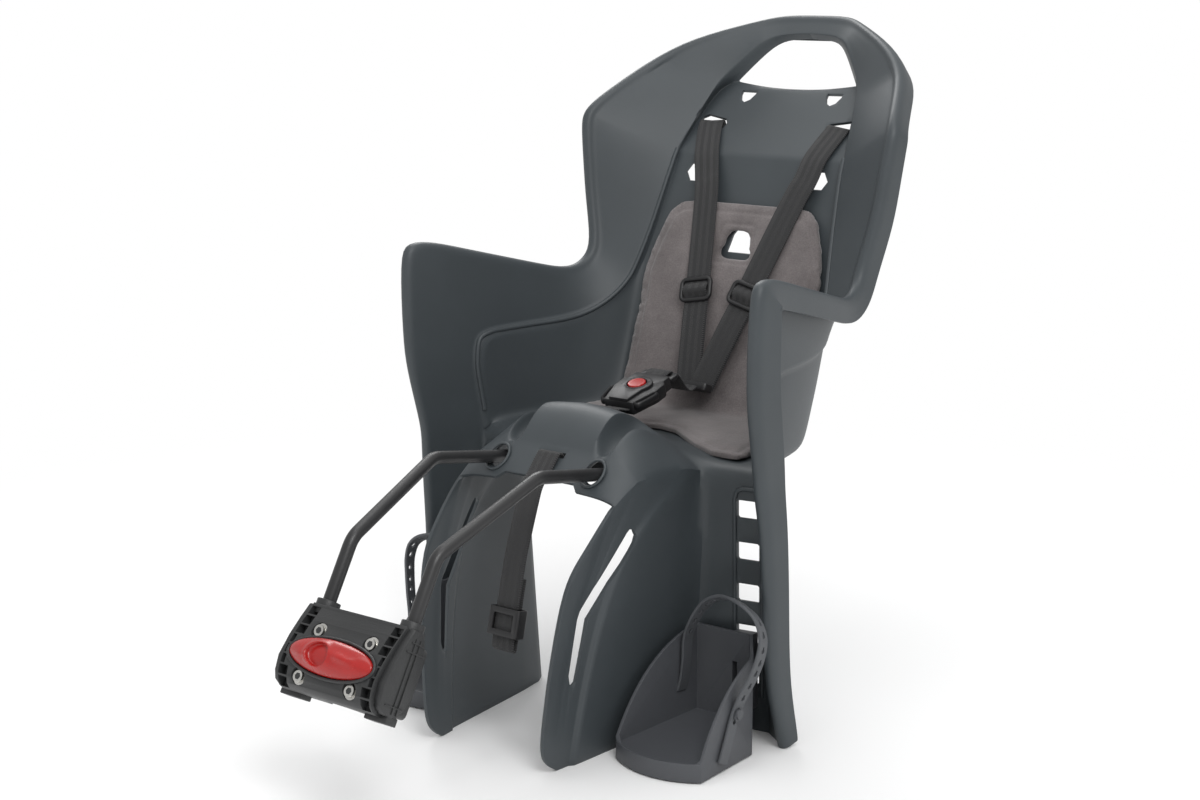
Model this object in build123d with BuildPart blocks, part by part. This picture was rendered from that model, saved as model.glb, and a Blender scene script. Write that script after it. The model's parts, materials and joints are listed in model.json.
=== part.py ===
import os
from math import atan2, cos, degrees, hypot, pi, radians, sin

from build123d import *

os.makedirs("parts", exist_ok=True)

# driving sizes, mm
front_y = -172.7         # Y of the leg tips; the frame's origin is the middle of the footprint
wall = 3.5               # shell wall
rim_nose = 7.0           # radius of the rolled rim
rim_flare = 2.5          # how much further out the rim's skirt ends
pan_z = 250.0            # underside of the seat pan
rod_d = 12.0             # carrier bow rod
rod_x = 48.0             # half distance between the rods in the block
rod_fit = 0.4            # clearance of the rods in their holes
tube_r = 17.0            # seat tube radius the block clamps
clamp_gap = 2.0          # gap between the two block halves
block_tilt = 31.0        # seat tube's lean from upright, degrees
back_lean = 20.0         # lower back's recline
web_w = 28.0             # harness webbing
web_t = 1.8
belt_w = 25.0            # safety strap webbing
pad_t = 8.0              # felt liner
pad_gap = 0.6
pad_back = 226.0         # length of the liner up the back
ladder_x = 151.0         # foot rest track in the leg guard's back wall
hole_pitch = 40.0        # foot rest height steps
hole_w = 22.0
hole_h = 17.0
holes = 5
rib_w = 3.2              # ribs on both sides of the track
rib_h = 2.4
rest_wall = 3.0          # foot rest wall
bolt_d = 6.0
bolt_x = 29.0            # clamp bolts about the block's middle
bolt_s = 20.5
press = 5.0              # release button travel
click = 3.0              # buckle button travel
gap = 0.4                # clearance between pieces that do not touch


def fy(y):
    """Y measured back from the leg tips, in the frame."""
    return y + front_y


def outset(points, t):
    """Open polyline moved t to the left of its direction, mitred at the corners."""
    normals = []
    for (x0, y0), (x1, y1) in zip(points, points[1:]):
        length = hypot(x1 - x0, y1 - y0)
        normals.append(((y0 - y1) / length, (x1 - x0) / length))
    moved = []
    for i, (x, y) in enumerate(points):
        a = normals[max(i - 1, 0)]
        b = normals[min(i, len(normals) - 1)]
        k = t / (1 + a[0] * b[0] + a[1] * b[1])
        moved.append((x + k * (a[0] + b[0]), y + k * (a[1] + b[1])))
    return moved


def blend(table, z):
    """Section of a table of (z, points) at height z, straight between rows."""
    rows = sorted(table)
    z = min(max(z, rows[0][0]), rows[-1][0])
    for (z0, a), (z1, b) in zip(rows, rows[1:]):
        if z0 <= z <= z1:
            k = (z - z0) / (z1 - z0)
            return [(p[0] + k * (q[0] - p[0]), p[1] + k * (q[1] - p[1])) for p, q in zip(a, b)]


def wall_x(table, y, z):
    """X of the side wall's inner face at y, z."""
    points = blend(table, z)
    for (x0, y0), (x1, y1) in zip(points, points[1:]):
        if y1 <= y <= y0:
            return x0 + (x1 - x0) * (y - y0) / (y1 - y0)
    (x0, y0), (x1, y1) = points[-2:]
    return x0 + (x1 - x0) * (y - y0) / (y1 - y0)


# back corners of a leg guard, inner and outer: at the floor and under the pan
leg_foot = [(88, 187), (172, 199)]
leg_head = [(104, 181), (168, 192)]
leg_head_z = 245.0


def back_corners(z):
    """Inner and outer back corner of a leg guard's inner face at height z."""
    k = z / leg_head_z
    return [(a[0] + k * (b[0] - a[0]), a[1] + k * (b[1] - a[1])) for a, b in zip(leg_foot, leg_head)]


def track_y(x, z):
    """Y of the back wall's inner face, which the foot rest runs on."""
    (x0, y0), (x1, y1) = back_corners(z)
    return y0 + (y1 - y0) * (x - x0) / (x1 - x0)


# inner face of one leg guard: X of its front end, then its back corners and its rim
leg_edges = [
    (0.0, 66, (200, 172)), (57.0, 71, (198, 151)), (107.0, 76, (198, 143)),
    (148.0, 80, (197, 142)), (211.0, 84, (196, 137)), (leg_head_z, 84, (191.6, 133)),
]
leg = [(z, [(front, -25), *back_corners(z), edge]) for z, front, edge in leg_edges]
# inner face of back, wing and arm rest at each height: back corner, side corner, hip, front
bucket = [
    (245.0, [(112, 339), (147, 284), leg_head[1], (208, 92)]),
    (340.0, [(114, 374), (151, 312), (174, 190), (199, 92)]),
    (400.0, [(112, 396), (163, 352), (184, 190), (198, 92)]),
    (445.0, [(108, 412), (168, 370), (188, 190), (198, 92)]),
    (510.0, [(102, 436), (176, 376), (192, 190), (200, 92)]),
    (556.0, [(88, 481), (182, 379), (195, 200), (202, 92)]),
    (584.0, [(79, 508), (163, 422), (185, 250), (202, 92)]),
    (604.0, [(66, 518), (150, 452), (180, 300), (202, 92)]),
    (628.0, [(52, 530), (117, 481), (170, 330), (202, 92)]),
    (648.0, [(40, 538), (58, 524), (150, 360), (202, 92)]),
]
bucket_t = [1.0, 1.0, 1.0, 1.05, 1.15, 1.3, 1.3, 1.15, 1.1, 1.1]
leg_slot = [(22, 86), (30, 140), (88, 204)]     # long slot in the leg's inner wall: y, z
leg_slot_w = 12.0
# rim in side view from the floor to the top bar, and the depth of its skirt
rim = [
    (172, 0, 16), (166, 15, 18), (151, 57, 22), (143, 107, 25), (142, 148, 26), (137, 211, 28),
    (133, 245, 32), (130, 263, 34), (116, 316, 36), (112, 347, 36), (112, 426, 34), (122, 442, 38),
    (155, 438, 27), (190, 429, 25), (300, 401, 24), (322, 396, 24), (341, 396, 24), (356, 404, 24),
    (364, 418, 25), (370, 461, 25), (376, 538, 22), (380, 552, 21), (391, 564, 20), (452, 604, 20),
    (479, 628, 20), (521, 646, 20),
]


# where the skirt ends round the arm rest's front corner, so that it does not fold over itself
rim_corner = {(112, 426): (144, 421), (122, 442): (147, 414), (155, 438): (154, 410)}


def rim_normal(i):
    """Direction in side view from rim station i into the wall."""
    if rim[i][:2] in rim_corner:
        (y0, z0), (y1, z1) = rim[i][:2], rim_corner[rim[i][:2]]
        length = hypot(y1 - y0, z1 - z0)
        return (y1 - y0) / length, (z1 - z0) / length
    y0, z0, _ = rim[max(i - 1, 0)]
    y1, z1, _ = rim[min(i + 1, len(rim) - 1)]
    length = hypot(y1 - y0, z1 - z0)
    return (z1 - z0) / length, -(y1 - y0) / length


def table_at(z):
    """Wall table that holds at height z."""
    return leg if z < 246 else bucket


def rim_section(i):
    """Rolled rim at station i: its plane and its outline (across, into the wall)."""
    y, z, depth = rim[i]
    ny, nz = rim_normal(i)
    table = table_at(z)
    x = wall_x(table, y, z)
    plane = Plane(origin=(x, fy(y), z), x_dir=(1, 0, 0), z_dir=(0, -nz, ny))

    def inner(v):
        return wall_x(table, y + ny * v, z + nz * v) - x

    r = rim_nose
    q = r - wall
    base = inner(r)
    end = 2 * r + rim_flare
    c = cos(pi / 4)
    outline = [
        (inner(2.2 * r) + 0.5, 2.2 * r), (base + 0.5, r), (base + r - r * c, r - r * c), (base + r, 0),
        (base + r + r * c, r - r * c), (base + 2 * r, r), (base + end, depth),
        (base + end - wall, depth), (base + 2 * r - wall, r), (base + r + q * c, r - q * c), (base + r, wall),
        (base + r - q * c, r - q * c), (base + wall - 0.5, r), (inner(2.2 * r) + wall - 0.5, 2.2 * r),
    ]
    return plane, outline


setback = []
for i in range(len(rim)):
    ny, nz = rim_normal(i)
    setback.append((fy(rim[i][0] + ny * rim_nose), rim[i][1] + nz * rim_nose))

# hump sections from the apron back to the pan: Y, then the top line from the middle out
hump = [
    (64, [(0, 240.5), (45, 239.6), (76, 238.2), (91, 234)]),
    (97, [(0, 271), (45, 270), (76, 266), (94, 252)]),
    (112, [(0, 291), (42, 289), (72, 277), (95.6, 252.4)]),
    (130, [(0, 305), (40, 302), (70, 285), (97.3, 252.4)]),
    (160, [(0, 299), (38, 295), (68, 279), (100.3, 252.4)]),
    (184, [(0, 287), (36, 283), (64, 270), (102, 252.2)]),
    (215, [(0, 271), (28, 267), (48, 260), (72, 252)]),
    (258, [(0, 252.6), (8, 252.3), (18, 252.1), (28, 251.6)]),
]

with BuildPart() as bucket_wall:
    for (z, half), k in zip(bucket, bucket_t):
        inner_line = [(-x, fy(y)) for x, y in reversed(half)] + [(x, fy(y)) for x, y in half]
        outer_line = outset(inner_line, wall * k)
        with BuildSketch(Plane.XY.offset(z)):
            Polygon(*inner_line, *reversed(outer_line), align=None)
    loft(ruled=True)
    with BuildSketch(Plane.YZ):
        edge = [p for p in setback if p[1] > 238]
        Polygon(*edge, (fy(600), 646), (fy(600), 230), (edge[0][0], 230), align=None)
    extrude(amount=260, both=True, mode=Mode.INTERSECT)

with BuildPart() as leg_guard:
    for i, (z, line) in enumerate(leg):
        pts = [(x, fy(y)) for x, y in line]
        (x0, y0), (x1, y1) = pts[2:]
        k = rim_nose / (y0 - y1)
        pts[3] = (x1 + (x0 - x1) * k, y1 + rim_nose)
        with BuildSketch(Plane.XY.offset(z)):
            Polygon(*pts, *reversed(outset(pts, wall)), align=None)
    loft(ruled=True)
    with BuildSketch(Plane.XY.offset(leg[-1][0] - 3)):
        Polygon(*outset(pts, 0.6), *reversed(outset(pts, wall - 0.6)), align=None)
    extrude(amount=9)
    with BuildSketch(Plane.YZ):
        face = [(8, 0), (-9, 12), (-13, 26), (-9, 91), (-1, 159), (6, 179), (66, 239), (97, 268)]
        Polygon(*[(fy(y), z) for y, z in face], (fy(300), 268), (fy(300), 0), align=None)
    extrude(amount=260, both=True, mode=Mode.INTERSECT)
    with BuildSketch(Plane.YZ.offset(60)):
        with BuildLine():
            Polyline(*[(fy(y), z) for y, z in leg_slot])
        trace(line_width=leg_slot_w)
    extrude(amount=60, mode=Mode.SUBTRACT)
    with BuildSketch(Plane.XZ.offset(-fy(186))):
        with Locations(*[(ladder_x, 214.5 - hole_pitch * i) for i in range(holes)]):
            Rectangle(hole_w, hole_h)
    extrude(amount=-20, mode=Mode.SUBTRACT)
    for x in (ladder_x - hole_w / 2 - rib_w - 0.6, ladder_x + hole_w / 2 + 0.6):
        for z in (36, 231):
            front = [(x, fy(track_y(x, z) - rib_h)), (x + rib_w, fy(track_y(x + rib_w, z) - rib_h))]
            with BuildSketch(Plane.XY.offset(z)):
                Polygon(*front, *[(a, b + rib_h + 1.5) for a, b in reversed(front)], align=None)
        loft(ruled=True)

with BuildPart() as shell_rim:
    for i in range(len(rim)):
        plane, outline = rim_section(i)
        with BuildSketch(plane):
            Polygon(*outline, align=None)
    loft(ruled=True)

with BuildPart() as seat_hump:
    for y, line in hump:
        top = [(-x, z) for x, z in reversed(line[1:])] + line
        t = wall * (1.15 if y < 200 else 0.6)
        under = [(x * 0.965, z - t) for x, z in reversed(top)]
        with BuildSketch(Plane.XZ.offset(-fy(y))):
            Polygon(*top, *under, align=None)
    loft(ruled=True)

# raised bead round the tub on each side wall: Y, Z from the pan's front corner to the head panel
bead_r = 4.0
tub_bead = [(196, 262), (188, 300), (186, 326), (196, 341), (220, 346), (262, 346), (300, 347), (326, 352),
            (348, 364), (366, 382)]
with BuildPart() as wall_bead:
    with BuildLine() as bead_line:
        Spline(*[Vector(wall_x(bucket, y, z) + 0.5, fy(y), z) for y, z in tub_bead])
    with BuildSketch(Plane(origin=bead_line.line @ 0, z_dir=bead_line.line % 0)):
        Circle(bead_r)
    sweep()
    with Locations(bead_line.line @ 0, bead_line.line @ 1):
        Sphere(bead_r)
    mirror(about=Plane.YZ)

tilt = radians(block_tilt)
lean = radians(back_lean)
panel = Plane(origin=(0, fy(466), 541), x_dir=(1, 0, 0), z_dir=(0, -0.717, 0.697))


def strap_plane(side):
    """Plane of one shoulder strap: X up along the webbing, Y out to the front, Z across it."""
    low = Vector(9 * side, fy(325 - (3.2 if side > 0 else 0)), 290)
    high = Vector(77 * side, fy(466), 541)
    along = (high - low).normalized()
    front = Vector(0, -cos(lean), sin(lean))
    across = along.cross(front).normalized()
    return Plane(origin=low, x_dir=along, z_dir=across)


def slot_turn(side):
    """Angle of one strap slot in the head panel, in line with its webbing."""
    across = strap_plane(side).z_dir
    return degrees(atan2(across.dot(panel.y_dir), across.X))


with BuildPart() as seat_shell:
    add(bucket_wall.part)
    add(shell_rim.part)
    mirror(shell_rim.part, about=Plane.YZ)
    add(leg_guard.part)
    mirror(leg_guard.part, about=Plane.YZ)
    add(seat_hump.part)
    with BuildSketch(Plane.XY.offset(pan_z)):
        pan = [(113, 343), (150, 283), (170, 193.5), (102, 183), (96, 178)]
        Polygon(*[(x, fy(y)) for x, y in pan], *[(-x, fy(y)) for x, y in reversed(pan)], align=None)
    extrude(amount=wall)
    with BuildSketch(Plane.YZ):
        bar = [(529.5, 622), (538.5, 645), (543, 650), (549, 651.5), (554, 649.5), (557, 645), (558, 624),
               (554.5, 624), (553.5, 644), (549, 648), (544.5, 646.8), (541.8, 643.5), (533.6, 622)]
        Polygon(*[(fy(y), z) for y, z in bar], align=None)
    extrude(amount=62, both=True)
    with BuildSketch(Plane.XZ.offset(-fy(475))):
        grip = [(72, 582), (43, 618), (33, 625.5)]
        Polygon(*grip, *[(-x, z) for x, z in reversed(grip)], (-36, 577.5), (0, 576), (36, 577.5), align=None)
    extrude(amount=-70, mode=Mode.SUBTRACT)
    with BuildSketch(panel):
        for side in (-1, 1):
            with Locations((77 * side, 0)):
                Rectangle(web_w + 6, web_t + 5.2, rotation=slot_turn(side))
        with Locations((52, 39), (-52, 39)):
            RegularPolygon(7, 6)
    extrude(amount=14, both=True, mode=Mode.SUBTRACT)
    with BuildSketch(Plane.XZ.offset(-fy(415))):
        with Locations((74, 491), (-74, 491)):
            RegularPolygon(10.5, 6)
        with Locations((0, 426)):
            Trapezoid(32, 22, 72)
    extrude(amount=-50, mode=Mode.SUBTRACT)
    with BuildSketch(Plane.XZ.offset(-fy(60))):
        with Locations((55.5, 256), (-55.5, 256)):
            Circle(rod_d / 2 + 3.6)
    extrude(amount=-50, mode=Mode.SUBTRACT)
    with BuildSketch(Plane(origin=(0, fy(91), 264.5), x_dir=(1, 0, 0), z_dir=(0, -0.684, 0.729))):
        Rectangle(belt_w + 6, 6)
    extrude(amount=9, both=True, mode=Mode.SUBTRACT)
    with BuildSketch(Plane.XY.offset(268)):
        with Locations((0, fy(175))):
            Rectangle(belt_w + 5, 6)
    extrude(amount=50, mode=Mode.SUBTRACT)
    with BuildSketch(Plane.XY.offset(pan_z - 5)):
        with Locations(*[(x, fy(y)) for x in (-40, 40) for y in (216, 260)]):
            Circle(2.3)
    extrude(amount=12, mode=Mode.SUBTRACT)
    add(wall_bead.part)
seat_shell.part.label = "seat_shell"
export_step(seat_shell.part, "parts/seat_shell.step")

# felt liner: one sheet up the back and over the pan, cut round the hump
back_foot = (341 - pad_gap, pan_z + wall + pad_gap)
back_head = (back_foot[0] + pad_back * sin(lean) - 1.0, back_foot[1] + pad_back * cos(lean))
with BuildPart() as seat_pad:
    h = pad_t / 2
    n = (-cos(lean), sin(lean))
    fold = (back_foot[0] - h / cos(lean) + h * sin(lean) / cos(lean) - 1.5, back_foot[1] + h)
    with BuildSketch(Plane.YZ):
        with BuildLine():
            FilletPolyline((fy(204), fold[1]), (fy(fold[0]), fold[1]),
                           (fy(back_head[0] + n[0] * h), back_head[1] + n[1] * h), radius=16)
        trace(line_width=pad_t)
    extrude(amount=140, both=True)
    with BuildSketch(Plane.XZ.offset(-fy(150))):
        side = [(134, 240), (134, 264.5), (104, 275), (101, 300), (105, 395), (98, 425), (88, 452),
                (76, 462), (60, 464)]
        Polygon(*side, *[(-x, z) for x, z in reversed(side)], align=None)
    extrude(amount=-320, mode=Mode.INTERSECT)
    with BuildSketch(Plane.XY.offset(200)):
        plan = [(24, 256), (44, 241), (72, 220), (100, 206), (126, 206), (132, 212), (118, 300),
                (104, 330), (104, 460)]
        Polygon((0, fy(263)), *[(x, fy(y)) for x, y in plan], *[(-x, fy(y)) for x, y in reversed(plan)],
                align=None)
    extrude(amount=300, mode=Mode.INTERSECT)
    with BuildSketch(Plane.XZ.offset(-fy(330))):
        with Locations((0, 426)):
            Trapezoid(38, 28, 72)
    extrude(amount=-130, mode=Mode.SUBTRACT)
seat_pad.part.label = "seat_pad"
export_step(seat_pad.part, "parts/seat_pad.step")


def strap_path(side):
    """Run of one shoulder strap in its plane, from the joiner over the fold and through its slot."""
    plane = strap_plane(side)
    lift = web_t / 2 + 1.2
    spots = [(56.1 * side, 405.7, 464, 0, 0), (68.5 * side, 436, 510, lift + 0.6, lift + 0.3),
             (77 * side, 466, 541, 1.5, 1.5)]
    path = [(5.0, 0.0)]
    for x, y, z, out, up in spots:
        p = plane.to_local_coords(Vector(x, fy(y - out), z + up))
        path.append((p.X, p.Y))
    p = plane.to_local_coords(Vector(77 * side, fy(466 + 8.6), 541 - 8.4))
    path.append((p.X, p.Y))
    return path


def adjuster_plane(side, at):
    """Plane on the webbing at a distance from the joiner: X along, Y across, Z to the front."""
    plane = strap_plane(side)
    path = strap_path(side)
    slope = (path[1][1] - path[0][1]) / (path[1][0] - path[0][0])
    origin = plane.from_local_coords((at, path[0][1] + slope * (at - path[0][0]), 0))
    x_dir = (plane.x_dir + plane.y_dir * slope).normalized()
    return Plane(origin=origin, x_dir=x_dir, z_dir=x_dir.cross(plane.z_dir) * -1)


with BuildPart() as shoulder_strap_left:
    with BuildSketch(strap_plane(1)):
        with BuildLine():
            Polyline(*strap_path(1))
        trace(line_width=web_t)
    extrude(amount=web_w / 2, both=True)
shoulder_strap_left.part.label = "shoulder_strap_left"
export_step(shoulder_strap_left.part, "parts/shoulder_strap_left.step")

with BuildPart() as shoulder_strap_right:
    with BuildSketch(strap_plane(-1)):
        with BuildLine():
            Polyline(*strap_path(-1))
        trace(line_width=web_t)
    extrude(amount=web_w / 2, both=True)
shoulder_strap_right.part.label = "shoulder_strap_right"
export_step(shoulder_strap_right.part, "parts/shoulder_strap_right.step")

# slide adjusters: side bars beside the webbing, end bars in front of it, a middle bar behind it
adj_len = 27.0
adj_bar = 4.5
with BuildPart() as strap_adjuster_left:
    with BuildSketch(adjuster_plane(1, 100).offset(web_t / 2 + gap)):
        Rectangle(adj_len, web_w + 2 * (adj_bar + gap))
        Rectangle(adj_len - 2 * adj_bar, web_w + 2 * gap, mode=Mode.SUBTRACT)
    extrude(amount=3.0)
    with BuildSketch(adjuster_plane(1, 100).offset(-web_t / 2 - gap - 2.4)):
        with Locations((0, (web_w + adj_bar) / 2 + gap), (0, -(web_w + adj_bar) / 2 - gap)):
            Rectangle(adj_len * 0.6, adj_bar)
    extrude(amount=web_t + 2 * gap + 3.0)
    with BuildSketch(adjuster_plane(1, 100).offset(-web_t / 2 - gap - 2.4)):
        Rectangle(adj_bar, web_w + 2 * (adj_bar + gap))
    extrude(amount=2.4)
strap_adjuster_left.part.label = "strap_adjuster_left"
export_step(strap_adjuster_left.part, "parts/strap_adjuster_left.step")

with BuildPart() as strap_adjuster_right:
    with BuildSketch(adjuster_plane(-1, 100).offset(web_t / 2 + gap)):
        Rectangle(adj_len, web_w + 2 * (adj_bar + gap))
        Rectangle(adj_len - 2 * adj_bar, web_w + 2 * gap, mode=Mode.SUBTRACT)
    extrude(amount=3.0)
    with BuildSketch(adjuster_plane(-1, 100).offset(-web_t / 2 - gap - 2.4)):
        with Locations((0, (web_w + adj_bar) / 2 + gap), (0, -(web_w + adj_bar) / 2 - gap)):
            Rectangle(adj_len * 0.6, adj_bar)
    extrude(amount=web_t + 2 * gap + 3.0)
    with BuildSketch(adjuster_plane(-1, 100).offset(-web_t / 2 - gap - 2.4)):
        Rectangle(adj_bar, web_w + 2 * (adj_bar + gap))
    extrude(amount=2.4)
strap_adjuster_right.part.label = "strap_adjuster_right"
export_step(strap_adjuster_right.part, "parts/strap_adjuster_right.step")

with BuildPart() as strap_anchor_left:
    with BuildSketch(panel.offset(-18.8)):
        with Locations((77, 0)):
            RectangleRounded(web_w + 18, 16, 4)
    extrude(amount=5)
strap_anchor_left.part.label = "strap_anchor_left"
export_step(strap_anchor_left.part, "parts/strap_anchor_left.step")

with BuildPart() as strap_anchor_right:
    with BuildSketch(panel.offset(-18.8)):
        with Locations((-77, 0)):
            RectangleRounded(web_w + 18, 16, 4)
    extrude(amount=5)
strap_anchor_right.part.label = "strap_anchor_right"
export_step(strap_anchor_right.part, "parts/strap_anchor_right.step")

# joiner and buckle, on the line from the straps' meeting point to the hump
join_len = 15.0
join = Plane(origin=(0, fy(315), 291), x_dir=(1, 0, 0), z_dir=(0, 0.40, 0.92))
with BuildPart() as harness_joiner:
    with BuildSketch(join.offset(-3.5)):
        RectangleRounded(web_w + 18, join_len, 4)
        with Locations((0, 3.4), (0, -3.4)):
            Rectangle(web_w + 4, 3.2, mode=Mode.SUBTRACT)
    extrude(amount=7)
harness_joiner.part.label = "harness_joiner"
export_step(harness_joiner.part, "parts/harness_joiner.step")

buckle = Plane(origin=(0, fy(229), 301), x_dir=(1, 0, 0), z_dir=(0, -0.28, 0.96))
buckle_w = 50.0
buckle_h = 18.0
cap_r = 9.0
tongue_w = 30.0
tongue_t = 4.4
with BuildPart() as harness_buckle:
    with BuildSketch(buckle.offset(-buckle_h / 2)):
        with BuildLine():
            body = [(-25, 24), (-24, -6), (-17, -36), (17, -36), (24, -6), (25, 24)]
            FilletPolyline(*[(x * buckle_w / 50, y) for x, y in body], radius=5, close=True)
        make_face()
    extrude(amount=buckle_h)
    chamfer(harness_buckle.faces().sort_by(Axis.Z)[-1].edges(), 2.5)
    with BuildSketch(buckle.offset(-buckle_h / 2 + 4)):
        with Locations((0, -3)):
            Circle(cap_r + gap)
    extrude(amount=buckle_h, mode=Mode.SUBTRACT)
    with BuildSketch(buckle.offset(-tongue_t / 2 - gap)):
        with Locations((0, 20)):
            Rectangle(tongue_w + 2 * gap, 22)
    extrude(amount=tongue_t + 2 * gap, mode=Mode.SUBTRACT)
harness_buckle.part.label = "harness_buckle"
export_step(harness_buckle.part, "parts/harness_buckle.step")

with BuildPart() as buckle_button:
    with BuildSketch(buckle.offset(buckle_h / 2 - 7)):
        with Locations((0, -3)):
            Circle(cap_r)
    extrude(amount=8.5)
    fillet(buckle_button.edges().sort_by(Axis.Z)[-1], 1.2)
buckle_button.part.label = "buckle_button"
export_step(buckle_button.part, "parts/buckle_button.step")

with BuildPart() as buckle_spring:
    with Locations(buckle.offset(-buckle_h / 2 + 4 + 0.3) * Location((0, -3, 0))):
        Cylinder(5.5, buckle_h - 11 - 0.6, align=(Align.CENTER, Align.CENTER, Align.MIN))
        Cylinder(4.5, 40, mode=Mode.SUBTRACT)
buckle_spring.part.label = "buckle_spring"
export_step(buckle_spring.part, "parts/buckle_spring.step")

with BuildPart() as buckle_tongue:
    with BuildSketch(buckle.offset(-tongue_t / 2)):
        with Locations((0, 18)):
            Rectangle(tongue_w, 16)
        with Locations((0, 32)):
            RectangleRounded(tongue_w + 10, 13, 3)
        with Locations((0, 34)):
            Rectangle(belt_w + 3, 3.4, mode=Mode.SUBTRACT)
    extrude(amount=tongue_t)
buckle_tongue.part.label = "buckle_tongue"
export_step(buckle_tongue.part, "parts/buckle_tongue.step")

with BuildPart() as tongue_strap:
    a = join.from_local_coords((0, -join_len / 2 - 0.6, 0))
    b = buckle.from_local_coords((0, 39.2, 0))
    with BuildSketch(Plane.YZ):
        with BuildLine():
            Polyline((a.Y, a.Z), ((a.Y + b.Y) / 2, (a.Z + b.Z) / 2 + 3), (b.Y, b.Z))
        trace(line_width=web_t)
    extrude(amount=belt_w / 2, both=True)
tongue_strap.part.label = "tongue_strap"
export_step(tongue_strap.part, "parts/tongue_strap.step")

with BuildPart() as crotch_strap:
    a = buckle.from_local_coords((0, -36.6, -3))
    with BuildSketch(Plane.YZ):
        with BuildLine():
            FilletPolyline((a.Y, a.Z), (fy(175.5), 293.5), (fy(175), 269), radius=4)
        trace(line_width=web_t)
    extrude(amount=belt_w / 2, both=True)
crotch_strap.part.label = "crotch_strap"
export_step(crotch_strap.part, "parts/crotch_strap.step")

# block on the seat tube: X across, Y up along the tube, Z out of its front
block = Plane(origin=(0, fy(-199), 149), x_dir=(1, 0, 0), z_dir=(0, -cos(tilt), sin(tilt)))
block_w = 122.0
block_h = 76.0
face_n = -3.0            # front face at its middle
brow = 13.0              # how far the bowed front falls back to its top and bottom edges
bolt_seat = face_n - 9.0 # floor of the bolts' recesses
tube_n = -40.0           # seat tube axis
rod_n = -26.0            # rods
back_n = -66.0           # back of the rear half
oval_w = 88.0
oval_h = 30.0
collar = 8.0
tab = 5.0                # guides under the block, below the rods' ends


def block_at(x, up, out):
    """Point in the block's plane, in the frame."""
    return block.from_local_coords((x, up, out))


bow = [block_at(rod_x, -34, rod_n), block_at(rod_x, 106, rod_n), Vector(60, fy(-4), 271),
       Vector(55, fy(250), 226)]
bow = [Vector(-p.X, p.Y, p.Z) for p in bow] + bow[::-1]
with BuildPart() as carrier_bow:
    with BuildLine() as bow_line:
        FilletPolyline(*bow, radius=24)
    with BuildSketch(Plane(origin=bow[0], z_dir=(bow[1] - bow[0]).normalized())):
        Circle(rod_d / 2)
    sweep()
carrier_bow.part.label = "carrier_bow"
export_step(carrier_bow.part, "parts/carrier_bow.step")

with BuildPart() as bow_bracket:
    with BuildSketch(Plane.XY.offset(pan_z - 34)):
        with Locations((0, fy(238))):
            RectangleRounded(142, 58, 6)
    extrude(amount=34 - 2 * gap)
    with BuildLine():
        FilletPolyline(*bow, radius=24)
    with BuildSketch(Plane(origin=bow[0], z_dir=(bow[1] - bow[0]).normalized())):
        Circle(rod_d / 2 + rod_fit / 2)
    sweep(mode=Mode.SUBTRACT)
    with BuildSketch(Plane.XY.offset(pan_z - 34)):
        with Locations(*[(x, fy(y)) for x in (-40, 40) for y in (216, 260)]):
            Circle(2.3)
    extrude(amount=40, mode=Mode.SUBTRACT)
bow_bracket.part.label = "bow_bracket"
export_step(bow_bracket.part, "parts/bow_bracket.step")

with BuildPart() as bracket_screws:
    with Locations(*[(x, fy(y), pan_z - 34 - gap / 2) for x in (-40, 40) for y in (216, 260)]):
        Cylinder(4.5, 3, align=(Align.CENTER, Align.CENTER, Align.MAX))
        Cylinder(2, 34 + wall, align=(Align.CENTER, Align.CENTER, Align.MIN))
bracket_screws.part.label = "bracket_screws"
export_step(bracket_screws.part, "parts/bracket_screws.step")

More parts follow.
